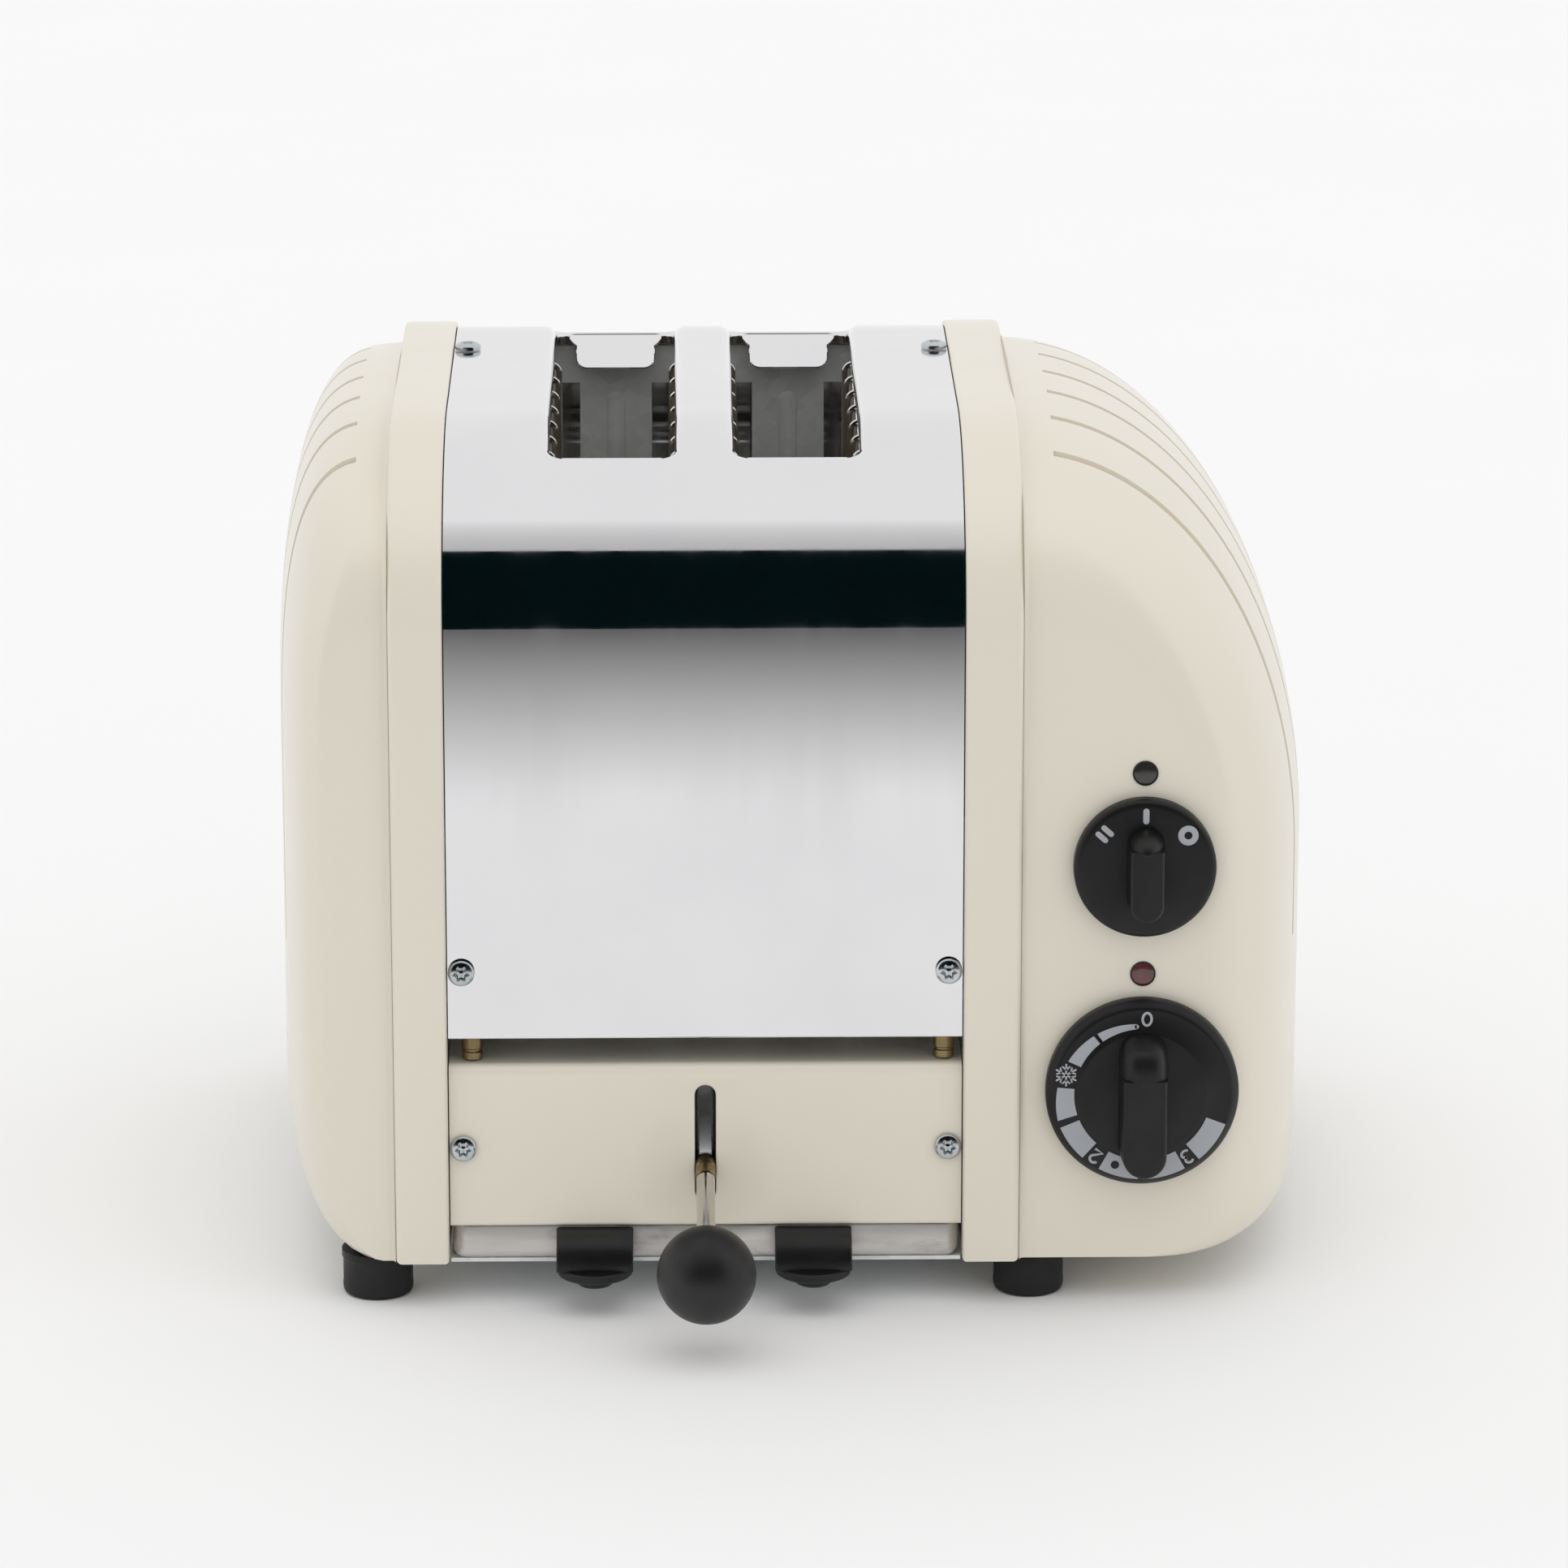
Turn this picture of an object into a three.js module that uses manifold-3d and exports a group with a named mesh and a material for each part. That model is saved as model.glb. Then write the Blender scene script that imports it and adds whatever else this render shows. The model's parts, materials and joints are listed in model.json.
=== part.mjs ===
// Two-slot pop up toaster, in millimetres, +Z up, standing on Z = 0.
// Inside the toaster group X = 0 is the middle of its width and Y = 0 the middle of its casing, front at -Y.
import * as THREE from 'three';
import { mergeVertices } from 'three/addons/utils/BufferGeometryUtils.js';
import { ConvexGeometry } from 'three/addons/geometries/ConvexGeometry.js';
import Module from 'manifold-3d';

const wasm = await Module();
wasm.setup();

// ---- Driving dimensions ----
const GAP = 0.3;                 // clearance between touching pieces
const BOTTOM = 11.8;             // underside of the castings, on top of the feet

const COVER_LEFT = -85.3;        // chrome cover between the two rims
const COVER_RIGHT = 41.4;
const COVER_HALF_DEPTH = 100;
const COVER_TOP = 216;
const COVER_SHEET = 0.8;
const COVER_LOWER_EDGE = 69.3;
const SHOULDER_RUN = 54;         // elliptical shoulder: depth and height
const SHOULDER_RISE = 42.5;

const SLOT_CENTRES = [-44.3, 1.2];
const SLOT_WIDTH = 31;
const SLOT_HALF_LENGTH = 73;
const SLOT_CORNER = 5;
const TONGUE_WIDTH = 21;         // sheet folded down at each end of a slot
const TONGUE_LENGTH = 11;
const TONGUE_LEAN = 42;          // degrees from upright

const RIM_PROUD = 3;             // how far the rims stand out in front of and behind the cover
const RIM_PROUD_TOP = 1.2;       // and how far above it
const CAST_WALL = 3.5;
const DOME_RISE = 42;            // height over which the dome rounds off to its front and back
const DOME_DEPTH_POWER = 2.5;    // superellipse powers of that rounding
const DOME_RISE_POWER = 2.7;
const DOME_RINGS = 5;
const DOME_STEPS = 7;
const VENT_PITCH = 22;
const VENT_INSET = 9;            // from the rim to the vents' upper ends
const VENT_WIDTH = 2.2;
const VENT_DEPTH = 1.2;
const VENT_BOTTOM = 85;

const PANEL_TOP = 62.5;
const PANEL_BOTTOM = 20.7;
const PANEL_SHEET = 1.2;
const LEDGE_DEPTH = 26;

const CHAMBER_LEFT = -85;        // inside faces of the two side plates
const CHAMBER_RIGHT = 41;
const END_PLATE_Y = 75;
const CHAMBER_FLOOR = 84;

const LEVER_X = -22;
const PIVOT_Y = -58;
const PIVOT_Z = 51;
const LEVER_TILT = THREE.MathUtils.degToRad(19.6);
const ARM_REAR = 58;
const BALL_DISTANCE = 87.2;
const BALL_RADIUS = 12.1;
const BUSH_START = 42;
const BUSH_LENGTH = 7;
const ROD_RADIUS = 2.3;
const LEVER_SLOT_TOP = 57.1;
const LEVER_SLOT_BOTTOM = 27;
const LEVER_SLOT_WIDTH = 5.2;

const RACK_Z = 110;              // top of the bread racks when they are up
const YOKE_Z = 74;
const GUIDE_Y = 12;

const KNOB_X = 85.8;
const SELECTOR_Z = 113.6;
const SELECTOR_RADIUS = 17.5;
const TIMER_Z = 56.1;
const TIMER_RADIUS = 23.9;
const SHAFT_RADIUS = 3;
const LAMP_RADIUS = 3.15;
const LAMP_HEIGHTS = { upper_lamp: 136.7, lower_lamp: 85.5 };

const TRAY_TOP = 20.6;
const TRAY_BOTTOM = 11.8;
const TRAY_FRONT = -99.3;
const TRAY_REAR = 90;
const TRAY_SHEET = 1.2;
const CLIP_CENTRES = { tray_clip_left: -49.5, tray_clip_right: 4.7 };
const CLIP_WIDTH = 19;
const CLIP_DISC_BOTTOM = 9.3;
const CLIP_BUTTON_RADIUS = 4.65;
const CLIP_BUTTON_BOTTOM = 6.8;

const FOOT_RADIUS = 9;
const FOOT_X = { left: -103.9, right: 58.8 };
const FOOT_Y = 88.3;
const SCREW_RADIUS = 3.3;
const SCREW_HEAD = 1.8;
const GLAND = { x: 25, z: 40, hole: 6 };

// The ball reaches further forward than the casing does, so the casing is moved back to centre the whole.
const FRONT_REACH = -PIVOT_Y + BALL_DISTANCE * Math.cos(LEVER_TILT) + BALL_RADIUS;
const BACK_REACH = COVER_HALF_DEPTH + RIM_PROUD;
const CASING_Y = (FRONT_REACH - BACK_REACH) / 2;

// ---- Finishes ----
const finish = (color, roughness, metalness) => ({ color, roughness, metalness });
const CREAM = finish(0xdad3c3, 0.3, 0);
const CHROME = finish(0xe0dee1, 0.08, 1);
const ZINC = finish(0xb4b6b4, 0.4, 1);
const STEEL = finish(0xb9b6b2, 0.35, 1);
const BRASS = finish(0x856f4c, 0.4, 1);
const BLACK = finish(0x1c1c1d, 0.5, 0);
const RUBBER = finish(0x202021, 0.8, 0);
const MICA = finish(0x8d8672, 0.7, 0);
const RED_LENS = finish(0x5f3939, 0.2, 0);
const DARK_LENS = finish(0x312f2d, 0.2, 0);

// ---- Solids ----
function solid(geometry) {
  const bare = geometry.clone();
  bare.deleteAttribute('normal');
  bare.deleteAttribute('uv');
  const merged = mergeVertices(bare, 1e-4);
  return new wasm.Manifold(new wasm.Mesh({
    numProp: 3,
    vertProperties: merged.attributes.position.array,
    triVerts: Uint32Array.from(merged.index.array),
  }));
}

function meshGeometry(body) {
  const mesh = body.getMesh();
  const geometry = new THREE.BufferGeometry();
  geometry.setAttribute('position', new THREE.BufferAttribute(mesh.vertProperties, 3));
  geometry.setIndex(new THREE.BufferAttribute(mesh.triVerts, 1));
  geometry.computeVertexNormals();
  return geometry;
}

function join(bodies) {
  return bodies.reduce((sum, body) => sum.add(body));
}

function cut(body, cutters) {
  return cutters.reduce((rest, cutter) => rest.subtract(cutter), body);
}

function block(x, y, z) {
  const box = new THREE.BoxGeometry(x[1] - x[0], y[1] - y[0], z[1] - z[0]);
  box.translate((x[0] + x[1]) / 2, (y[0] + y[1]) / 2, (z[0] + z[1]) / 2);
  return solid(box);
}

const PLANES = {
  x: new THREE.Matrix4().makeBasis(
    new THREE.Vector3(0, 1, 0), new THREE.Vector3(0, 0, 1), new THREE.Vector3(1, 0, 0)),
  y: new THREE.Matrix4().makeBasis(
    new THREE.Vector3(1, 0, 0), new THREE.Vector3(0, 0, 1), new THREE.Vector3(0, -1, 0)),
  z: new THREE.Matrix4(),
};

// Extrudes an outline along an axis between two places; on x the outline is (y, z), on y (x, z), on z (x, y).
function prism(axis, outline, from, to, curveSegments = 6) {
  const geometry = new THREE.ExtrudeGeometry(outline, {
    depth: to - from, bevelEnabled: false, curveSegments,
  });
  geometry.applyMatrix4(PLANES[axis]);
  const start = axis === 'y' ? to : from;
  geometry.translate(axis === 'x' ? start : 0, axis === 'y' ? start : 0, axis === 'z' ? start : 0);
  return solid(geometry);
}

function circle(u, v, radius) {
  const outline = new THREE.Shape();
  outline.absarc(u, v, radius, 0, Math.PI * 2, false);
  return outline;
}

function roundedRectangle(u0, u1, v0, v1, radius) {
  const outline = new THREE.Shape();
  outline.moveTo(u0 + radius, v0);
  outline.lineTo(u1 - radius, v0);
  outline.absarc(u1 - radius, v0 + radius, radius, -Math.PI / 2, 0, false);
  outline.lineTo(u1, v1 - radius);
  outline.absarc(u1 - radius, v1 - radius, radius, 0, Math.PI / 2, false);
  outline.lineTo(u0 + radius, v1);
  outline.absarc(u0 + radius, v1 - radius, radius, Math.PI / 2, Math.PI, false);
  outline.lineTo(u0, v0 + radius);
  outline.absarc(u0 + radius, v0 + radius, radius, Math.PI, Math.PI * 1.5, false);
  return outline;
}

// A turned solid about +Z from (radius, height) pairs that start and end on the axis.
function turned(profile, sides = 24) {
  return solid(new THREE.LatheGeometry(profile.map(([r, z]) => new THREE.Vector2(r, z)), sides)
    .rotateX(Math.PI / 2));
}

// A round bar; it has twice as many sides as curveSegments.
function cylinder(axis, u, v, radius, from, to, curveSegments = 6) {
  return prism(axis, circle(u, v, radius), from, to, curveSegments);
}

const casing = new THREE.Group();
casing.name = 'toaster';

function place(name, body, look, parent = casing) {
  const mesh = new THREE.Mesh(meshGeometry(body), new THREE.MeshStandardMaterial(look));
  mesh.name = name;
  parent.add(mesh);
  return mesh;
}

// The casing's outline seen from the side: upright faces, elliptical shoulders and a flat top.
function sideOutline(grow, bottom) {
  const half = COVER_HALF_DEPTH + grow;
  const flat = COVER_HALF_DEPTH - SHOULDER_RUN;
  const spring = COVER_TOP - SHOULDER_RISE;
  const run = SHOULDER_RUN + grow;
  const rise = SHOULDER_RISE + (grow > 0 ? grow * RIM_PROUD_TOP / RIM_PROUD : grow);
  const outline = new THREE.Shape();
  outline.moveTo(-half, bottom);
  outline.lineTo(half, bottom);
  outline.lineTo(half, spring);
  outline.absellipse(flat, spring, run, rise, 0, Math.PI / 2, false);
  outline.lineTo(-flat, spring + rise);
  outline.absellipse(-flat, spring, run, rise, Math.PI / 2, Math.PI, false);
  outline.closePath();
  return outline;
}

// ---- End castings ----
// side is -1 for the left casting and 1 for the right one; the x places count outwards from the middle.
// rim holds the rim's two faces and end the outermost point. The dome springs from the end wall at spring,
// reaches top beside the rim, and its front view is a quarter superellipse of the given power. corner is the
// width of its rounding in plan, and foot how far the wall draws in at the bottom and over what height.
const CASTINGS = {
  left: {
    side: -1, rim: [85.6, 98.9], end: 128.8, spring: 130, top: 215, power: 3.1,
    corner: 15, foot: { inset: 15, height: 36 },
  },
  right: {
    side: 1, rim: [41.7, 55.8], end: 130, spring: 107, top: 216.1, power: 2,
    corner: 30, foot: { inset: 14, height: 14 },
  },
};

function domePoint(shape, grow, around, along) {
  const start = shape.rim[1];
  const roundness = Math.sin(around) ** (2 / DOME_RISE_POWER);
  const radial = shape.end - start + grow - shape.corner * (1 - roundness);
  const rise = shape.top - shape.spring + grow - DOME_RISE * (1 - roundness);
  const depth = (COVER_HALF_DEPTH + grow) * Math.max(0, Math.cos(around)) ** (2 / DOME_DEPTH_POWER);
  const outward = Math.sin(along) ** (2 / shape.power);
  const upward = Math.max(0, Math.cos(along)) ** (2 / shape.power);
  return [start + radial * outward, depth, shape.spring + rise * upward];
}

function domeSolid(shape, grow, overlap) {
  const points = [];
  const add = (x, y, z) => {
    points.push(new THREE.Vector3(shape.side * x, y, z), new THREE.Vector3(shape.side * x, -y, z));
  };
  const floor = BOTTOM - grow;
  const start = shape.rim[1] - overlap;
  for (let ring = 0; ring <= DOME_RINGS; ring += 1) {
    const around = (ring / DOME_RINGS) * Math.PI / 2;
    for (let step = 0; step <= DOME_STEPS; step += 1) {
      add(...domePoint(shape, grow, around, (step / DOME_STEPS) * Math.PI / 2));
    }
    const [x, y] = domePoint(shape, grow, around, Math.PI / 2);
    for (let step = 0; step <= 4; step += 1) {
      const turn = (step / 4) * Math.PI / 2;
      add(x - shape.foot.inset * (1 - Math.cos(turn)), y, floor + shape.foot.height * (1 - Math.sin(turn)));
    }
    const [, crownY, crownZ] = domePoint(shape, grow, around, 0);
    add(start, crownY, crownZ);
    add(start, crownY, floor);
  }
  return solid(new ConvexGeometry(points));
}

// Shallow grooves that run over the dome from beside the rim and down the end wall.
function ventGrooves(shape) {
  const skin = domeSolid(shape, 0.5, 0).subtract(domeSolid(shape, -VENT_DEPTH, 4));
  const span = [shape.side * (shape.rim[1] + VENT_INSET), shape.side * (shape.end + 2)].sort((a, b) => a - b);
  const grooves = [];
  for (let index = -3; index <= 3; index += 1) {
    const middle = index * VENT_PITCH;
    const slice = block(span, [middle - VENT_WIDTH / 2, middle + VENT_WIDTH / 2], [VENT_BOTTOM, 230]);
    grooves.push(skin.intersect(slice));
  }
  return grooves;
}

function endCasting(shape) {
  const across = (x0, x1) => [shape.side * x0, shape.side * x1].sort((a, b) => a - b);
  const rimSpan = across(...shape.rim);
  const openSpan = across(shape.rim[0] - 1, shape.rim[1] - CAST_WALL);
  const outside = prism('x', sideOutline(RIM_PROUD, BOTTOM), ...rimSpan).add(domeSolid(shape, 0, 2));
  const inside = prism('x', sideOutline(RIM_PROUD - CAST_WALL, BOTTOM + CAST_WALL), ...openSpan)
    .add(domeSolid(shape, -CAST_WALL, CAST_WALL + 1));
  return cut(outside, [inside, ...ventGrooves(shape)]);
}

casing.position.set((CASTINGS.left.end - CASTINGS.right.end) / 2, CASING_Y, 0);

function addCastings() {
  place('left_end_casting', endCasting(CASTINGS.left), CREAM);
  const front = [-COVER_HALF_DEPTH - 5, -COVER_HALF_DEPTH + 10];
  const holes = [
    cylinder('y', KNOB_X, SELECTOR_Z, SHAFT_RADIUS + 0.6, ...front),
    cylinder('y', KNOB_X, TIMER_Z, SHAFT_RADIUS + 0.6, ...front),
    ...Object.values(LAMP_HEIGHTS).map((z) => cylinder('y', KNOB_X, z, LAMP_RADIUS + GAP, ...front)),
  ];
  place('right_end_casting', cut(endCasting(CASTINGS.right), holes), CREAM);
  const nub = turned([[0, 0], [2, 0], [2.2, 0.8], [2.2, 1.6], [0, 1.6]], 12);
  place('casting_nub', nub, STEEL).position.set(103, -84, BOTTOM - GAP - 1.6);
}

// ---- Screws: two on the cover and two on the panel, front and rear, and two on top ----
const SCREW_X = { left: -81.9, right: 38 };
const COVER_SCREW_Z = 86.6;
const PANEL_SCREW_Z = 41.2;
const TOP_SCREW_Y = 24.5;

function faceScrews(way) {
  const row = way < 0 ? 'front' : 'rear';
  return Object.entries(SCREW_X).flatMap(([hand, x]) => [
    { name: `cover_screw_${row}_${hand}`, x, z: COVER_SCREW_Z },
    { name: `panel_screw_${row}_${hand}`, x, z: PANEL_SCREW_Z },
  ]);
}

function screwSolid() {
  return turned([
    [0, -5], [1.5, -5], [1.5, GAP], [SCREW_RADIUS, GAP], [SCREW_RADIUS, 0.9],
    [SCREW_RADIUS * 0.8, SCREW_HEAD - 0.1], [0, SCREW_HEAD + 0.2],
  ], 14);
}

function addScrews() {
  for (const way of [-1, 1]) {
    for (const { name, x, z } of faceScrews(way)) {
      const screw = place(name, screwSolid(), STEEL);
      screw.rotation.x = -way * Math.PI / 2;
      screw.position.set(x, way * COVER_HALF_DEPTH, z);
    }
  }
  for (const [hand, x] of Object.entries(SCREW_X)) {
    place(`top_screw_${hand}`, screwSolid(), STEEL).position.set(x, TOP_SCREW_Y, COVER_TOP);
  }
}

function faceScrewHoles(way) {
  const face = way * COVER_HALF_DEPTH;
  return faceScrews(way).map(({ x, z }) => cylinder('y', x, z, 1.9, face - 4, face + 4, 4));
}

// ---- Chrome cover ----
// A round-cornered tongue bent down and inwards from one end of a slot.
function slotTongue(x, way) {
  const reach = (SLOT_HALF_LENGTH - COVER_HALF_DEPTH + SHOULDER_RUN) / SHOULDER_RUN;
  const foldZ = COVER_TOP - SHOULDER_RISE + SHOULDER_RISE * Math.sqrt(1 - reach ** 2);
  const outline = roundedRectangle(-TONGUE_WIDTH / 2, TONGUE_WIDTH / 2, -TONGUE_LENGTH, 3.5, 3);
  const geometry = new THREE.ExtrudeGeometry(outline, { depth: 1.2, bevelEnabled: false, curveSegments: 2 });
  geometry.rotateX(THREE.MathUtils.degToRad(90 - TONGUE_LEAN));
  geometry.translate(0, SLOT_HALF_LENGTH, foldZ - 0.6);
  if (way < 0) {
    geometry.rotateZ(Math.PI);
  }
  return solid(geometry.translate(x, 0, 0));
}

function addCover() {
  const outer = prism('x', sideOutline(0, COVER_LOWER_EDGE), COVER_LEFT, COVER_RIGHT);
  const hollow = prism('x', sideOutline(-COVER_SHEET, 40), COVER_LEFT - 1, COVER_RIGHT + 1);
  const slots = SLOT_CENTRES.map((x) => prism('z', roundedRectangle(
    x - SLOT_WIDTH / 2, x + SLOT_WIDTH / 2, -SLOT_HALF_LENGTH, SLOT_HALF_LENGTH, SLOT_CORNER), 190, 230, 3));
  const topHoles = Object.values(SCREW_X).map((x) => (
    cylinder('z', x, TOP_SCREW_Y, 1.9, COVER_TOP - 4, COVER_TOP + 4, 4)));
  const sheet = cut(outer, [hollow, ...slots, ...faceScrewHoles(-1), ...faceScrewHoles(1), ...topHoles]);
  const tongues = SLOT_CENTRES.flatMap((x) => [-1, 1].map((way) => slotTongue(x, way).intersect(outer)));
  place('chrome_cover', join([sheet, ...tongues]), CHROME);
}

// ---- Folded panels under the cover ----
function panelSolid(way) {
  const face = COVER_HALF_DEPTH;
  const inside = face - PANEL_SHEET;
  const back = face - LEDGE_DEPTH;
  const outline = new THREE.Shape();
  outline.moveTo(face, PANEL_BOTTOM);
  outline.lineTo(face, PANEL_TOP - 2.5);
  outline.absarc(face - 2.5, PANEL_TOP - 2.5, 2.5, 0, Math.PI / 2, false);
  outline.lineTo(back, PANEL_TOP);
  outline.lineTo(back, PANEL_TOP - PANEL_SHEET);
  outline.lineTo(inside - 1.5, PANEL_TOP - PANEL_SHEET);
  outline.lineTo(inside, PANEL_TOP - PANEL_SHEET - 1.5);
  outline.lineTo(inside, PANEL_BOTTOM + PANEL_SHEET);
  outline.lineTo(inside - 8, PANEL_BOTTOM + PANEL_SHEET);
  outline.lineTo(inside - 8, PANEL_BOTTOM);
  outline.closePath();
  const body = prism('x', outline, COVER_LEFT, COVER_RIGHT);
  return way > 0 ? body : body.mirror([0, 1, 0]);
}

function addPanels() {
  const half = LEVER_SLOT_WIDTH / 2;
  const slot = prism('y', roundedRectangle(
    LEVER_X - half, LEVER_X + half, LEVER_SLOT_BOTTOM, LEVER_SLOT_TOP, half - 0.05), -110, -90);
  place('front_lower_panel', cut(panelSolid(-1), [slot, ...faceScrewHoles(-1)]), CREAM);
  const glandHole = cylinder('y', GLAND.x, GLAND.z, GLAND.hole, 90, 110);
  place('rear_lower_panel', cut(panelSolid(1), [glandHole, ...faceScrewHoles(1)]), CREAM);
  for (const [name, x] of [['panel_post_left', -79.5], ['panel_post_right', 37]]) {
    const post = turned([[0, 0], [2.6, 0], [2.6, 18], [0, 18]], 14);
    place(name, post, BRASS).position.set(x, -94.5, PANEL_TOP + GAP);
  }
  const gland = new THREE.LatheGeometry([
    [3.6, -8], [5.6, -8], [5.6, GAP], [8, GAP], [8, 1.4], [6.6, 2.4], [3.6, 2.4], [3.6, -8],
  ].map(([r, z]) => new THREE.Vector2(r, z)), 20).rotateX(Math.PI / 2);
  const ring = place('cord_gland', solid(gland), BLACK);
  ring.rotation.x = -Math.PI / 2;
  ring.position.set(GLAND.x, COVER_HALF_DEPTH, GLAND.z);
}

// ---- Inner walls of the toasting chamber ----
function addChamber() {
  const wall = sideOutline(-COVER_SHEET - 0.5, TRAY_TOP + 1.7);
  place('left_side_plate', prism('x', wall, CHAMBER_LEFT - 2.7, CHAMBER_LEFT - 1.2), ZINC);
  place('right_side_plate', prism('x', wall, CHAMBER_RIGHT + 1.3, CHAMBER_RIGHT + 2.8), ZINC);
  const basePlate = block([COVER_LEFT, COVER_RIGHT], [-97, 97], [TRAY_BOTTOM - 1.4, TRAY_BOTTOM - 0.4]);
  place('base_plate', basePlate, ZINC);
  for (const [name, way] of [['front_end_plate', -1], ['rear_end_plate', 1]]) {
    const windows = [];
    for (const x of SLOT_CENTRES) {
      for (const hand of [-1, 1]) {
        const sides = [x + hand * 9.5, x + hand * 16].sort((a, b) => a - b);
        windows.push(block(sides, [-1, 3], [CHAMBER_FLOOR + 8, 196]));
      }
    }
    const sheet = block([CHAMBER_LEFT + 0.5, CHAMBER_RIGHT - 0.5], [0, 1], [CHAMBER_FLOOR - 8, 206]);
    const ribs = SLOT_CENTRES.map((x) => prism(
      'y', roundedRectangle(x - 2.8, x + 2.8, CHAMBER_FLOOR + 14, 194, 2.7), -0.9, 0.4, 3));
    const plate = place(name, join([cut(sheet, windows), ...ribs]), ZINC);
    plate.rotation.z = way > 0 ? 0 : Math.PI;
    plate.position.set(way > 0 ? 0 : SLOT_CENTRES[0] + SLOT_CENTRES[1], way * END_PLATE_Y, 0);
  }
}

// ---- Heating elements and guard wires ----
function addElements() {
  for (const [name, x] of [['element_left', -71], ['element_centre', -21.7], ['element_right', 28]]) {
    const sheet = block([-0.6, 0.6], [-70, 70], [CHAMBER_FLOOR, 200]);
    const frame = block([-2, 2], [-72, 72], [CHAMBER_FLOOR - 1, 203])
      .subtract(block([-3, 3], [-67, 67], [CHAMBER_FLOOR + 4, 198]));
    place(name, sheet.add(frame), MICA).position.x = x;
  }
}

function guardSolid() {
  const pieces = [
    block([-1.4, 0], [-68, 68], [92, 94]),
    block([1.2, 2.6], [-68, 68], [203, 205]),
  ];
  for (let index = 0; index < 8; index += 1) {
    const y = -60 + (120 / 7) * index;
    pieces.push(cylinder('z', 0, y, 0.8, 90, 205, 2));
    pieces.push(cylinder('x', y, 204.2, 0.8, -0.5, 4.5, 2));
  }
  return join(pieces);
}

function addGuards() {
  const reach = SLOT_WIDTH / 2 - 0.8;
  const names = [['guard_left_outer', 'guard_left_inner'], ['guard_right_inner', 'guard_right_outer']];
  SLOT_CENTRES.forEach((x, slot) => {
    [-1, 1].forEach((hand, index) => {
      const guard = place(names[slot][index], guardSolid(), STEEL);
      guard.rotation.z = hand > 0 ? 0 : Math.PI;
      guard.position.x = x + hand * reach;
    });
  });
}

// ---- Bread carriage ----
function rackSolid() {
  const strip = block([-6, 6], [-66, 66], [RACK_Z - 1.5, RACK_Z]);
  const lips = [-1, 1].map((way) => block(
    [way < 0 ? -6 : 4.8, way < 0 ? -4.8 : 6], [-66, 66], [RACK_Z - 1.5, RACK_Z + 3]));
  const leg = block([-1.2, 1.2], [-6, 6], [YOKE_Z + 4 + GAP, RACK_Z - 1]);
  const toe = block([-3.5, 3.5], [-6, 6], [YOKE_Z + 4 + GAP, YOKE_Z + 5.6]);
  const slits = [];
  for (let index = -4; index <= 4; index += 1) {
    if (index !== 0) {
      slits.push(block([-3, 3], [index * 14 - 4, index * 14 + 4], [RACK_Z - 3, RACK_Z + 1]));
    }
  }
  return cut(join([strip, ...lips, leg, toe]), slits);
}

function addCarriage() {
  ['left', 'right'].forEach((hand, slot) => {
    place(`${hand}_bread_rack`, rackSolid(), STEEL).position.x = SLOT_CENTRES[slot];
  });
  const bar = block([SLOT_CENTRES[0] - 5, SLOT_CENTRES[1] + 5], [-8, 6], [YOKE_Z, YOKE_Z + 2.5]);
  const pads = SLOT_CENTRES.map((x) => block([x - 5, x + 5], [-8, 6], [YOKE_Z, YOKE_Z + 4]));
  const collar = cylinder('z', LEVER_X, GUIDE_Y, 5.5, YOKE_Z - 3, YOKE_Z + 6);
  const bore = cylinder('z', LEVER_X, GUIDE_Y, 2.9, YOKE_Z - 5, YOKE_Z + 8);
  const neck = block([LEVER_X - 4, LEVER_X + 4], [4, GUIDE_Y], [YOKE_Z, YOKE_Z + 4]);
  place('carriage_yoke', join([bar, ...pads, collar, neck]).subtract(bore), ZINC);
  place('carriage_guide_rod', cylinder('z', LEVER_X, GUIDE_Y, 2.5, 26.8, CHAMBER_FLOOR - 1.5), STEEL);
}

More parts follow.
